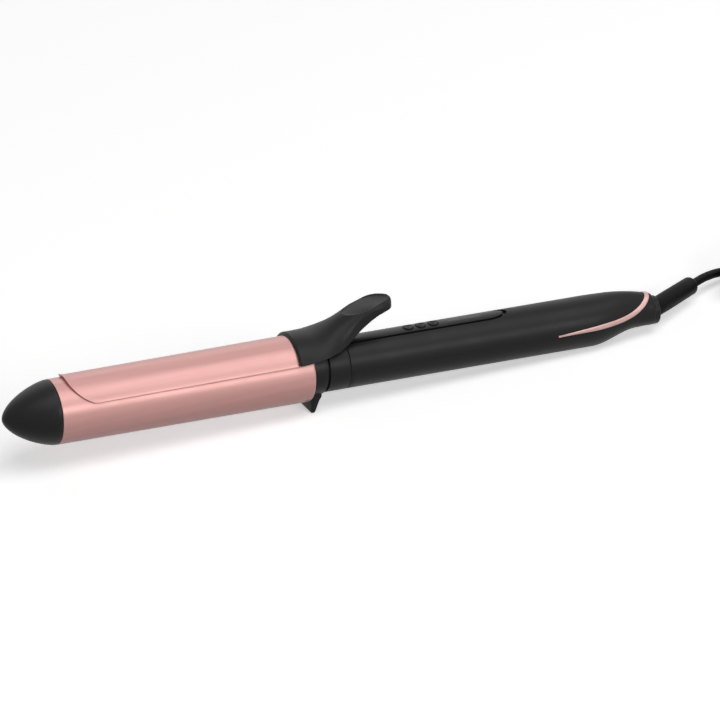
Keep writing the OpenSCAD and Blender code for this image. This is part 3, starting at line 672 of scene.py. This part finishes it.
def build_lever(sizes):
    """The thumb lever: skirts over the barrel that rise into a dished thumb pad."""
    top, edge, side, arch, hollow, wall = lever_shape(sizes)
    depth, centre, half_l, half_w = sizes.dish / MM, LEVER_BACK - 15.2, 13.3, 7.9
    across = np.linspace(-1, 1, 72)

    def dip(x, y):
        q = ((x - centre) / half_l) ** 2 + (y / half_w) ** 2
        return depth * (1 - q) ** 0.5 if q < 1 else 0

    def chamfer(x):
        return max(1.5 - (x - LEVER_FRONT) * 1.4, 0) + max(x - LEVER_BACK + 1, 0) * 0.9

    def section(x):
        half, flat = arch(x), mix(1, 0.4, ease(x, 16, 32))
        low, w, shrink = edge(x), side(x), chamfer(x)
        narrow, thin = w - shrink * 0.5, min(wall, w / 3)
        bead = thin / 2

        def curve(t, height, width, power):
            a = t * half
            share = max((cos(a) - cos(half)) / (1 - cos(half)), 0) ** power
            return width * sin(a) / sin(half), low + (height - low) * share

        outside = [curve(t, top(x) - shrink, narrow, flat) for t in across]
        outside = [(y, z - dip(x, y)) for y, z in outside]
        inside = [curve(t, hollow(x), w - thin, 1) for t in across[::-1]]
        right = [(narrow - bead + bead * cos(b), low - bead * sin(b) * 0.9)
                 for b in HALF_TURN]
        left = [(-y, z) for y, z in reversed(right)]
        return [(x, y, z) for y, z in outside + right + inside + left]

    stations = list(LEVER_FRONT + 1.8 * np.linspace(0, 1, 8) ** 1.5)
    stations += list(np.linspace(LEVER_FRONT + 1.8, LEVER_BACK - 10, 90)[1:])
    stations += list(LEVER_BACK - 0.02 - 10 * (1 - np.linspace(0, 1, 34)[1:]) ** 1.7)
    lever = mesh_object("thumb_lever", [loft([section(x) for x in stations])], sharp=42)
    back, front, upper, lower = PIVOT.x + 3.5, PIVOT.x - 3.5, PIVOT.z + 3, PIVOT.z - 3
    cheek = soften([(front, upper), (front, lower, 2), (back, lower, 2), (back, upper)])
    cheeks = [prism(cheek, y, y + 2) for y in (6.6, -8.6)]
    return join(lever, mesh_object("lever_cheeks", cheeks))


def build_spring():
    """The hinge spring: a coil about the pivot with a leg under the lever."""
    wire, coil_r, half, low_leg, high_leg = 0.45, 2.4, 3.2, 9, 7.6
    turns = [(PIVOT.x + coil_r * cos(a), mix(-half, half, t),
              PIVOT.z + coil_r * sin(a))
             for t in np.linspace(0, 1, 150) for a in [radians(-75 - 1600 * t)]]
    low = (PIVOT.x + low_leg, -half, HANDLE_R + wire + CLEARANCE)
    high = (PIVOT.x + high_leg, half, span("clip_spring")[1][2] - wire)
    route = [low, tuple(mix(Vector(low), Vector(turns[0]), 0.9)), *turns,
             tuple(mix(Vector(high), Vector(turns[-1]), 0.9)), high]
    return mesh_object("hinge_spring", [loft(tube_rings(route, wire, 12))])


# ---- collar, foot and handle ----


def build_ring():
    """The collar's front ring with the foot that the iron lies on."""
    back, inside = RING_W - 1.0, -0.55 * RING_R
    ring = lathe(soften([(NECK_R + 0.05, 0), (RING_R, 0, 0.5), (RING_R, back, 0.5),
                         (NECK_R + 0.05, back)]))
    low = [TO_IRON @ v.co for v in NODES["stand_ring"].data.vertices if v.co.z < 1 * MM]
    front, half = min(v.x for v in low), max(abs(v.y) for v in low)
    toe, heel, root = front + 2.1, front + 5, front + 6.2
    outline = soften([(front, inside), (front, table_z(front), 0.4),
                      (toe, table_z(toe), 0.6), (heel, -RING_R - 1.4, 1.2),
                      (root, -RING_R + 0.2), (root, inside)])
    foot = mesh_object("rest_foot", [prism(outline, -half, half)])
    bevel(foot, 0.35)
    return join(mesh_object("rest_ring", [ring]), foot)


def build_collar():
    """The collar behind the ring: a groove, the body, and the hinge's two ears."""
    r, bore, ear = HANDLE_R + 0.05, RING_R - 5.1, 2.9
    groove, spigot, spigot_end = r - 1.3, r - 2.1, COLLAR_L + 9
    body = lathe(soften([(bore, 0), (NECK_R, 0), (NECK_R, RING_W - 0.9),
                         (groove, RING_W - 0.9), (groove, RING_W + 0.8),
                         (r, RING_W + 0.8, 0.5), (r, COLLAR_L - 0.15, 0.4),
                         (spigot, COLLAR_L - 0.15), (spigot, spigot_end, 0.3),
                         (bore, spigot_end, 0.3)]))
    outline = [(PIVOT.x - ear * cos(a), PIVOT.z + ear * sin(a))
               for a in np.linspace(0, pi, 17)]
    outline = [(PIVOT.x - ear, HANDLE_R - 3), *outline, (PIVOT.x + ear, HANDLE_R - 3)]
    ears = mesh_object("hinge_ears", [prism(outline, y, y + 2.4) for y in (3.9, -6.3)])
    bevel(ears, 0.3)
    return join(mesh_object("collar_body", [body]), ears)


def tail_low(x):
    return mix(HANDLE_R, 8, ease(x, TAIL_X - 1, TAIL_X + 25))


def tail_wide(x):
    return mix(HANDLE_R, 8.3, ease(x, TAIL_X - 6, END_X))


def tail_top(x):
    flat = 9  # how much of the shaped end stays level on top
    return mix(HANDLE_R, 10, (max(x - TAIL_X - flat, 0) / (TAIL_L - flat)) ** 1.9)


def handle_ring(x, shrink=0.0):
    """A section of the handle, drawn in by a margin all round."""
    ring = []
    for a in np.linspace(0, 2 * pi, 120, endpoint=False):
        up = tail_top(x) if cos(a) > 0 else tail_low(x)
        ring.append((x, (tail_wide(x) - shrink) * sin(a), (up - shrink) * cos(a)))
    return ring


def whole_handle():
    """The handle's wall in one piece, before it is split into its two shells."""
    wall, nose, mouth = 2.0, 1.0, 3.6
    outside = [handle_ring(COLLAR_L, 0.25), handle_ring(COLLAR_L + 0.3)]
    outside += [handle_ring(x) for x in (*np.linspace(COLLAR_L + 3, TAIL_X - 12, 40),
                                         *np.linspace(TAIL_X - 11, END_X - nose, 50))]
    outside += [handle_ring(END_X - nose + nose * sin(a), nose * (1 - cos(a)))
                for a in np.radians((20, 40, 60, 80, 90))]
    face = [handle_ring(END_X, 2.2), handle_ring(END_X, mouth), handle_ring(END_X - 4, mouth)]
    inside = [handle_ring(x, wall) for x in np.linspace(END_X - 4.5, COLLAR_L, 60)]
    return loft(outside + face + inside, closed=True)


TRIM_L, TRIM_SWEEP, TRIM_RISE = 63, 37, 12
TRIM_X = END_X - TRIM_L


def trim_mid(x):
    """Height of the trim's middle line, which sweeps up to the top of the handle."""
    sweep = max(x - END_X + TRIM_SWEEP, 0) / TRIM_SWEEP
    return 0.048 * (x - TRIM_X) + TRIM_RISE * sweep ** 3.9


# where the trim reaches the top of the handle
TRIM_END = next((x for x in np.linspace(TRIM_X, END_X, 400) if trim_mid(x) >= tail_top(x)),
                END_X)


def strip_half(x, grow):
    """Half of the control strip's width at x, with its tapered rear end."""
    beyond = max(x - PANEL_BACK + PANEL_TAPER, 0) / (PANEL_TAPER + grow)
    return (5.9 + grow) * sqrt(max(1 - beyond ** 2, 0.0001))


def strip_solid(outer, inner, grow):
    """A curved strip as long as the control strip, grown all round."""
    front, rear = PANEL_FRONT - grow, PANEL_BACK + grow - PANEL_TAPER
    stations = list(np.linspace(front, rear, 30))
    stations += list(rear + (PANEL_TAPER - 0.02) * np.sin(np.linspace(0, pi / 2, 20))[1:])
    return loft([band_ring(x, asin(strip_half(x, grow) / outer), outer, inner, 24)
                 for x in stations])


def build_shells():
    """The handle's upper and lower shells, split at the seam and along the trim."""
    upper, lower = (mesh_object(name, [whole_handle()]) for name in ("handle_top", "handle_base"))
    start = COLLAR_L - 2
    line = [(start, 0.0), (TRIM_X, 0.0)]
    line += [(x, trim_mid(x)) for x in np.linspace(TRIM_X, TRIM_END, 40)[1:]]

    def above(name, lift):
        """Everything above the seam, whose line is moved up by lift."""
        edge = [(x, z + lift) for x, z in line + [(TRIM_END + 0.4, line[-1][1])]]
        return mesh_object(name, [prism(edge + [(TRIM_END + 0.4, 30), (start, 30)], -20, 20)])

    carve(upper, above("above_seam", 0.03), "INTERSECT")
    carve(lower, above("below_seam", -0.03))
    recess = strip_solid(HANDLE_R + 3, HANDLE_R - GROOVE_DEPTH, 1.1)
    carve(upper, mesh_object("strip_recess", [recess]))
    bore, root, rim = 4.3, 8.2, 8.0
    socket = lathe(soften([(bore, END_X - 3), (root, END_X - 3), (rim, SOCKET_END, 0.9),
                           (bore, SOCKET_END, 0.5)]))
    return upper, join(lower, mesh_object("cord_socket", [socket]))


def build_trim(sizes):
    """The metallic trim: one band up both sides that closes over the handle's end."""
    side = []
    for t in np.linspace(0, 1, 120):
        x = mix(TRIM_X, TRIM_END, 1 - (1 - t) ** 2)
        top = tail_top(x)
        level = min(trim_mid(x) / top, 1)
        side.append(Vector((x, -tail_wide(x) * sqrt(max(1 - level ** 2, 0)),
                            min(trim_mid(x), top))))
    side[-1].y = 0
    path = side + [Vector((p.x, -p.y, p.z)) for p in reversed(side[:-1])]
    steps = np.cumsum([0] + [(b - a).length for a, b in zip(path, path[1:])])
    path = [Vector([np.interp(s, steps, [p[i] for p in path]) for i in range(3)])
            for s in np.linspace(0, steps[-1], 260)]
    last, full, proud = len(path) - 1, sizes.trim_width / MM / 2, 0.28
    edge = [(1, -1.0), (1, proud - 0.22), (0.86, proud - 0.05), (0.5, proud)]
    section = [(-u, v) for u, v in edge] + [(0, proud + 0.03)] + edge[::-1]
    rings = []
    for k, here in enumerate(path):
        along = (path[min(k + 1, last)] - path[max(k - 1, 0)]).normalized()
        outward = Vector((0, here.y / tail_wide(here.x) ** 2, here.z / tail_top(here.x) ** 2))
        outward = (outward - along * outward.dot(along)).normalized()
        from_start = min(k, last - k) / last * steps[-1]
        across = along.cross(outward) * (full * (0.4 + 0.6 * ease(from_start, 0, 30)))
        rings.append([tuple(here + across * u + outward * v) for u, v in section])
    return mesh_object("rose_inlay", [loft(rings)], sharp=50)


# ---- controls ----


def upright(x):
    """Places a turned piece with its axis straight up at x along the iron."""
    return IRON @ Matrix.Translation((x, 0, 0)) @ Matrix.Rotation(-pi / 2, 4, "Y")


def button_places():
    return {key: sum(ends(key + "_button")) / 2 for key in ("minus", "plus", "power")}


def build_strip():
    """The control strip with its holes for the buttons and the window."""
    sunk, hole_r, slot_half, below, above = 0.05, 3.2, 1.25, 5, 20
    solid = strip_solid(HANDLE_R - sunk, HANDLE_R - GROOVE_DEPTH + sunk, -1.4)
    strip = mesh_object("control_strip", [solid], sharp=40)
    for x in button_places().values():
        hole = lathe([(0, below), (hole_r, below), (hole_r, above), (0, above)], 48)
        carve(strip, mesh_object("button_hole", [hole], upright(x)), sharp=40)
    front, back = ends("light_window")
    slot = prism([(front, below), (back, below), (back, above), (front, above)],
                 -slot_half, slot_half)
    carve(strip, mesh_object("window_slot", [slot]), sharp=40)
    return strip


def build_button(key, x):
    """A dished button with a raised tactile mark and its stem."""
    top, radius, dish_r, mark = HANDLE_R + 0.5, 2.9, 2.1, 1.1
    stem, cap = span(key + "_button")[0][2], top - 1.4
    dish = [(r, top - 0.35 * (1 - (r / dish_r) ** 2)) for r in np.linspace(dish_r, 0, 12)]
    outline = [(0, stem)] + soften([(1.5, stem), (1.5, cap), (radius, cap, 0.2),
                                    (radius, top, 0.5)]) + dish
    button = mesh_object(key + "_key", [lathe(outline, 64)], upright(x))

    def ridge(middle, half, soft):
        """The outline of a mark that stands up from the dish."""
        return soften([(middle - half, top - 0.4), (middle - half, top - 0.1, soft),
                       (middle + half, top - 0.1, soft), (middle + half, top - 0.4)])

    if key == "power":
        marks, place = [lathe(ridge(1.0, 0.2, 0.1), 48)], upright(x)
    else:
        marks, place = [prism(ridge(x, 0.2, 0.1), -mark, mark)], IRON
    if key == "plus":
        marks.append(prism(ridge(x, mark, 0), -0.2, 0.2))
    return join(button, mesh_object(key + "_mark", marks, place))


# ---- strain relief, cord and plug ----

RELIEF_TURN = radians(33)
RELIEF_ROOT = Vector((ROTOR_X + 1.2, 2.6, 0))
RELIEF_ALONG = Vector((cos(RELIEF_TURN), sin(RELIEF_TURN), 0))

COIL_AT = Vector((287, 8, 0))  # centre of the coil on the table, in millimetres
COIL_R = 30.0  # radius of the middle turns
TURN_GAP = 5.0  # from one turn to the next
COIL_START = 90.0  # angle at which the lead comes in
COIL_TURNS = 7 + 295 / 360
# cells of the winding, outward and upward from the middle, in the order they fill
CELLS = [(1, 0), (0, 0), (-1, 0), (-1, 1), (-1, 2), (0, 2), (0, 1), (1, 1), (1, 2)]
CELL_STEP = 70.0  # angle over which the cord moves to its next cell
# where each move starts in its turn: one waits until the next cell is empty
MOVES = [5, 5, 4, 4, 3, 2, 1, 0]

# the lead from the strain relief to the coil, and the end from the coil to the plug, in
# metres, as in the construction
LEAD_ROUTE = [(0.2301, 0.0238, 0.0103), (0.2352, 0.0271, 0.0100), (0.2402, 0.0304, 0.0095),
              (0.2486, 0.0351, 0.0081), (0.2574, 0.0388, 0.0062), (0.2654, 0.0411, 0.0046),
              (0.2749, 0.0427, 0.0031), (0.2830, 0.0430, 0.0025), (0.2870, 0.0430, 0.0025)]
TAIL_ROUTE = [(0.2553, 0.0228, 0.0125), (0.2585, 0.0282, 0.0139), (0.2623, 0.0323, 0.0155),
              (0.2667, 0.0352, 0.0170), (0.2714, 0.0370, 0.0185), (0.2763, 0.0377, 0.0199),
              (0.2814, 0.0375, 0.0209), (0.2863, 0.0362, 0.0216), (0.2910, 0.0340, 0.0219)]


def through(points):
    """A smooth curve through points."""
    points = [Vector(p) for p in points]
    points = [2 * points[0] - points[1], *points, 2 * points[-1] - points[-2]]
    curve = []
    for a, b, c, d in zip(points, points[1:], points[2:], points[3:]):
        for t in np.linspace(0, 1, 8, endpoint=False):
            curve.append(0.5 * ((2 * b) + (c - a) * t + (2 * a - 5 * b + 4 * c - d) * t ** 2
                                + (3 * b - a - 3 * c + d) * t ** 3))
    return curve + [points[-2]]


def coil_route():
    """The cord's turns, each a diameter from the next, wound clockwise."""
    route = []
    moves = [360 * k + CELL_STEP * start for k, start in enumerate(MOVES)]
    for turned in np.arange(5, COIL_TURNS * 360 - 4.9, 5):
        cell = sum(ease(turned, start, start + CELL_STEP) for start in moves)
        first = min(int(cell), len(CELLS) - 2)
        out, up = (mix(CELLS[first][i], CELLS[first + 1][i], cell - first) for i in (0, 1))
        angle = radians(COIL_START - turned)
        radius = COIL_R + TURN_GAP * out
        route.append((COIL_AT + Vector((radius * cos(angle), radius * sin(angle),
                                        TURN_GAP * (up + 0.5)))) * MM)
    return route


def build_cord(sizes):
    """The mains cord as one curve from the strain relief to the plug."""
    route = through(LEAD_ROUTE)[:-1] + coil_route() + through(TAIL_ROUTE)
    curve = bpy.data.curves.new("mains_cord", "CURVE")
    curve.dimensions = "3D"
    curve.bevel_depth, curve.bevel_resolution = sizes.cord_width / 2, 6
    curve.use_fill_caps = True
    line = curve.splines.new("POLY")
    line.points.add(len(route) - 1)
    for point, place in zip(line.points, route):
        point.co = (*place, 1)
    line.use_smooth = True
    return add_object("mains_cord", curve)


def build_relief():
    """The strain relief: a sleeve with a shoulder, bent towards the side."""
    r = 5.3
    profile = [(4.2, r), (6, r + 0.1), (14, r + 0.1), (24, r), (RELIEF_L - 3.4, r - 0.1),
               (RELIEF_L - 2.8, r - 0.25), (RELIEF_L - 0.7, r - 1.7), (RELIEF_L - 0.2, r - 2.1),
               (RELIEF_L, r - 2.5)]
    start = [Vector((x, RELIEF_ROOT.y, 0)) for x in (ROTOR_X, ROTOR_X + 0.5)]
    route = start + [RELIEF_ROOT] + [RELIEF_ROOT + d * RELIEF_ALONG for d, _ in profile]
    radii = [r - 0.5, r - 0.1, r] + [radius for _, radius in profile]
    return mesh_object("cord_relief", [loft(tube_rings(route, radii, 48))], sharp=25)


def build_tie():
    """The strap that holds the coil together."""
    wall, half_w, reach, corner = 0.9, 4.5, 7.5, 2.2

    def loop(y, grow):
        low, high = COIL_R - reach - grow, COIL_R + reach + grow
        bottom, top = 0.9 - grow, 15 + grow
        return [(r, y, z) for r, z in soften([(low, bottom, corner), (high, bottom, corner),
                                              (high, top, corner), (low, top, corner)])]

    rings = [loop(y, grow) for y, grow in ((-half_w, 0.05), (-half_w, wall), (half_w, wall),
                                           (half_w, 0.05))]
    place = TABLE @ Matrix.Translation(COIL_AT) @ Matrix.Rotation(radians(-100), 4, "Z")
    return mesh_object("cord_strap", [loft(rings, closed=True)], place)


PLUG_PLACE = TABLE @ Matrix.Translation((291, 34, 21.9)) @ Matrix.Rotation(
    radians(-30), 4, "Z")
PLUG_L, PLUG_W, PLUG_T = 36.0, 35.0, 13.7
PIN_PITCH = 18.6


def build_plug():
    """The moulded plug: a flat body that narrows to its grip and the cord."""
    rings = []
    for x in [0, 0.3, *np.linspace(1, 30, 40), *np.linspace(30.5, PLUG_L - 1.5, 12),
              PLUG_L - 0.8, PLUG_L - 0.3, PLUG_L]:
        u = ease(x, 6, 22)
        edge = 0.8 * ease(x, PLUG_L - 1.6, PLUG_L) + (0.5 if x == 0 else 0)
        rib = 0.45 * sin(pi * (x - 8) / 2.4) ** 2 if 8 < x < 20 else 0
        w, t = mix(4, PLUG_W / 2, u) - edge - rib, mix(4, PLUG_T / 2, u) - edge - rib * 0.5
        power = mix(1, 0.5, u)
        turns = [(cos(a), sin(a))
                 for a in np.linspace(0, 2 * pi, 72, endpoint=False)]
        rings.append([(x, copysign(w * abs(c) ** power, c),
                       copysign(t * abs(s) ** power, s)) for c, s in turns])
    return mesh_object("plug_moulding", [loft(rings)], PLUG_PLACE, 50)


def build_pins(sleeve):
    """Two contact pins, as bare metal ends or as their insulating sleeves."""
    sleeve_end, end = PLUG_L + 9.5, PLUG_L + 19
    if sleeve:
        outline = [(0, PLUG_L - 1), (1.95, PLUG_L - 1), (1.95, sleeve_end, 0.2),
                   (0, sleeve_end)]
    else:
        outline = [(0, sleeve_end - 0.5), (1.9, sleeve_end - 0.5), (2.0, sleeve_end + 0.1, 0.1),
                   (2.0, end, 1.5), (0, end)]
    points, faces = lathe(soften(outline), 40)
    parts = [([(x, y + shift, z) for x, y, z in points], faces)
             for shift in (-PIN_PITCH / 2, PIN_PITCH / 2)]
    return mesh_object("pin_sleeves" if sleeve else "pin_contacts", parts, PLUG_PLACE)


# ---- operators ----


class IronOperator(bpy.types.Operator):
    """What every step of the iron shares."""

    def execute(self, context):
        self.build(context.scene.iron_sizes, context.scene.iron_colours)
        return {"FINISHED"}


class IRON_OT_stage(IronOperator):
    """Sets up the camera, the studio light, the floor and the finishes"""

    bl_idname = "iron.stage"
    bl_label = "Stage"

    def build(self, sizes, colours):
        make_finishes(colours)
        add_camera()
        add_lights()
        add_floor(colours.floor)


class IRON_OT_cord(IronOperator):
    """Lays the mains cord and its coil, strap, strain relief and plug"""

    bl_idname = "iron.cord"
    bl_label = "Mains Cord"

    def build(self, sizes, colours):
        cord = settle(build_cord(sizes), "lead", "soft_black", "power_cord", "cord_coil",
                      "cord_tail")
        tie = settle(build_tie(), "lead", "soft_black", "cord_tie")
        plug = settle(build_plug(), "lead", "soft_black", "plug_body")
        pins = settle(build_pins(False), "lead", "bright_metal", "plug_pins")
        sleeves = settle(build_pins(True), "lead", "soft_black", "plug_pins")
        relief = settle(build_relief(), "lead", "soft_black", "strain_relief")


class IRON_OT_barrel(IronOperator):
    """Models the cool tip and the heated barrel"""

    bl_idname = "iron.barrel"
    bl_label = "Barrel and Tip"

    def build(self, sizes, colours):
        settle(build_tip(), "tong", "black_plastic", "cool_tip")
        settle(build_barrel(), "tong", "coated_metal", "barrel_tube")


class IRON_OT_clip(IronOperator):
    """Models the clip plate, the thumb lever and the hinge spring"""

    bl_idname = "iron.clip"
    bl_label = "Clip and Lever"

    def build(self, sizes, colours):
        settle(build_plate(sizes), "clip", "coated_metal", "clip_plate")
        settle(build_lever(sizes), "clip", "black_plastic", "clip_lever")
        spring = settle(build_spring(), None, "steel", "clip_spring")
        low, high = (IRON @ Vector((PIVOT.x, 0, PIVOT.z + reach)) for reach in (-3, 3))
        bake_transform(spring)
        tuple(low)
        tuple(high)


class IRON_OT_handle(IronOperator):
    """Models the ring with its foot, the collar, the handle's shells and the trim"""

    bl_idname = "iron.handle"
    bl_label = "Handle"

    def build(self, sizes, colours):
        settle(build_ring(), "tong", "black_plastic", "stand_ring")
        settle(build_collar(), "tong", "black_plastic", "barrel_collar")
        for shell, node in zip(build_shells(), ("upper_shell", "lower_shell")):
            settle(shell, "tong", "black_plastic", node)
        settle(build_trim(sizes), "tong", "rose_trim", "tail_trim")


class IRON_OT_controls(IronOperator):
    """Models the control strip and its three buttons"""

    bl_idname = "iron.controls"
    bl_label = "Controls"

    def build(self, sizes, colours):
        settle(build_strip(), "tong", "gloss_black", "control_panel")
        for key, x in button_places().items():
            settle(build_button(key, x), key + "_button_body", "button_plastic",
                   key + "_button")


class IRON_OT_finish(IronOperator):
    """Gives the construction's own pieces their finishes"""

    bl_idname = "iron.finish"
    bl_label = "Finishes"

    def build(self, sizes, colours):
        slots = {row["node"]: row["material_slot"] for row in frame["record"]["subparts"]}
        for name, node in NODES.items():
            node.data.materials.clear()
            node.data.materials.append(FINISHES[slots[name]])


STEPS = (IRON_OT_stage, IRON_OT_cord, IRON_OT_barrel, IRON_OT_clip, IRON_OT_handle,
         IRON_OT_controls, IRON_OT_finish)


# ---- studio ----

VIEW_YAW, VIEW_PITCH, VIEW_ROLL = (radians(a) for a in (22.39, 25.0, 2.80))
VIEW_DISTANCE = 5.64  # metres
VIEW_WIDTH = 0.3977  # metres across the picture at the iron
VIEW_CENTRE = Vector((0, 0, 0.020))
VIEW_OFFSET = (0.01455, 0.00482)  # to the right and up
AMBIENT = 0.07
FLOOR_BOUNCE = 0.03
FLOOR_GLOW = 0.47


def add_camera():
    """A long lens from the front left, above the table."""
    ahead = Vector((sin(VIEW_YAW) * cos(VIEW_PITCH),
                    cos(VIEW_YAW) * cos(VIEW_PITCH), -sin(VIEW_PITCH)))
    level = Vector((cos(VIEW_YAW), -sin(VIEW_YAW), 0))
    upward = level.cross(ahead)
    right = level * cos(VIEW_ROLL) - upward * sin(VIEW_ROLL)
    up = level * sin(VIEW_ROLL) + upward * cos(VIEW_ROLL)
    target = VIEW_CENTRE + right * VIEW_OFFSET[0] + up * VIEW_OFFSET[1]
    data = bpy.data.cameras.new("camera")
    data.lens = data.sensor_width * VIEW_DISTANCE / VIEW_WIDTH
    data.clip_end = 50
    camera = add_object("camera", data)
    turn = Matrix((right, up, -ahead)).transposed().to_4x4()
    camera.matrix_world = Matrix.Translation(target - ahead * VIEW_DISTANCE) @ turn
    bpy.context.scene.camera = camera


def softbox(name, place, aim, size, power):
    """A rectangular lamp that looks at a point."""
    data = bpy.data.lights.new(name, "AREA")
    data.shape, data.size, data.size_y = "RECTANGLE", *size
    data.energy = power
    lamp = add_object(name, data)
    look = (Vector(aim) - Vector(place)).to_track_quat("-Z", "Y").to_matrix().to_4x4()
    lamp.matrix_world = Matrix.Translation(place) @ look


def add_lights():
    """A front softbox, a wide one above, a weak one behind, and a white surround."""
    softbox("front_softbox", (1.4, -3.6, 1.55), (0, 0, 0.02), (1.8, 1.1), 46)
    softbox("rear_softbox", (0.3, 3.2, 2.4), (0, 0, 0), (3.0, 1.5), 12)
    softbox("upper_softbox", (0.5, -1.5, 3.4), (0, 0, 0), (4.5, 2.4), 76)
    world = bpy.data.worlds.new("surround")
    bpy.context.scene.world = world
    world.use_nodes = True
    nodes = Nodes(world.node_tree)
    strength = nodes.ramp(nodes.sees_background(), 0, 1, AMBIENT, 1)
    nodes.feed(world.node_tree.nodes["Background"], (1, 1, 1), strength)
    bpy.context.scene.view_settings.view_transform = "Standard"


def add_floor(colour):
    """A plain pale floor that looks white and takes the iron's shadow."""
    mesh = bpy.data.meshes.new("floor")
    mesh.from_pydata([(-8, -8, 0), (8, -8, 0), (8, 8, 0), (-8, 8, 0)], [], [(0, 1, 2, 3)])
    floor = add_object("floor", mesh)
    floor.location.z = -0.0002  # just clear of the pieces that lie on it
    finish = Finish("studio_floor")
    seen = finish.sees_background()
    finish.surface(Base_Color=finish.shades(seen, colour, FLOOR_BOUNCE, 1), Roughness=0.9,
                   Specular_IOR_Level=0.0)
    glow = finish.node("ShaderNodeEmission", Strength=finish.ramp(seen, 0, 1, 0, FLOOR_GLOW))
    lit = Signal(finish, finish.shader.outputs[0])
    finish.feed(finish.tree.nodes["Material Output"],
                finish.node("ShaderNodeAddShader", None, lit, glow))
    mesh.materials.append(finish.material)


# ---- panel and registration ----


class IRON_PT_panel(bpy.types.Panel):
    """Lists the steps, sizes and colours of the iron"""

    bl_label = "Curling Iron"
    bl_idname = "IRON_PT_panel"
    bl_space_type = "VIEW_3D"
    bl_region_type = "UI"
    bl_category = "Iron"

    def draw(self, context):
        for step in STEPS:
            self.layout.operator(step.bl_idname)
        for group in (context.scene.iron_sizes, context.scene.iron_colours):
            box = self.layout.box()
            for key in group.__annotations__:
                box.prop(group, key)


CLASSES = (IronSizes, IronColours, *STEPS, IRON_PT_panel)


def register():
    for item in CLASSES:
        bpy.utils.register_class(item)
    bpy.types.Scene.iron_sizes = bpy.props.PointerProperty(type=IronSizes)
    bpy.types.Scene.iron_colours = bpy.props.PointerProperty(type=IronColours)


def unregister():
    del bpy.types.Scene.iron_colours
    del bpy.types.Scene.iron_sizes
    for item in reversed(CLASSES):
        bpy.utils.unregister_class(item)


def main():
    register()
    for step in STEPS:
        getattr(bpy.ops.iron, step.bl_idname.split(".")[1])()


if __name__ == "__main__":
    main()
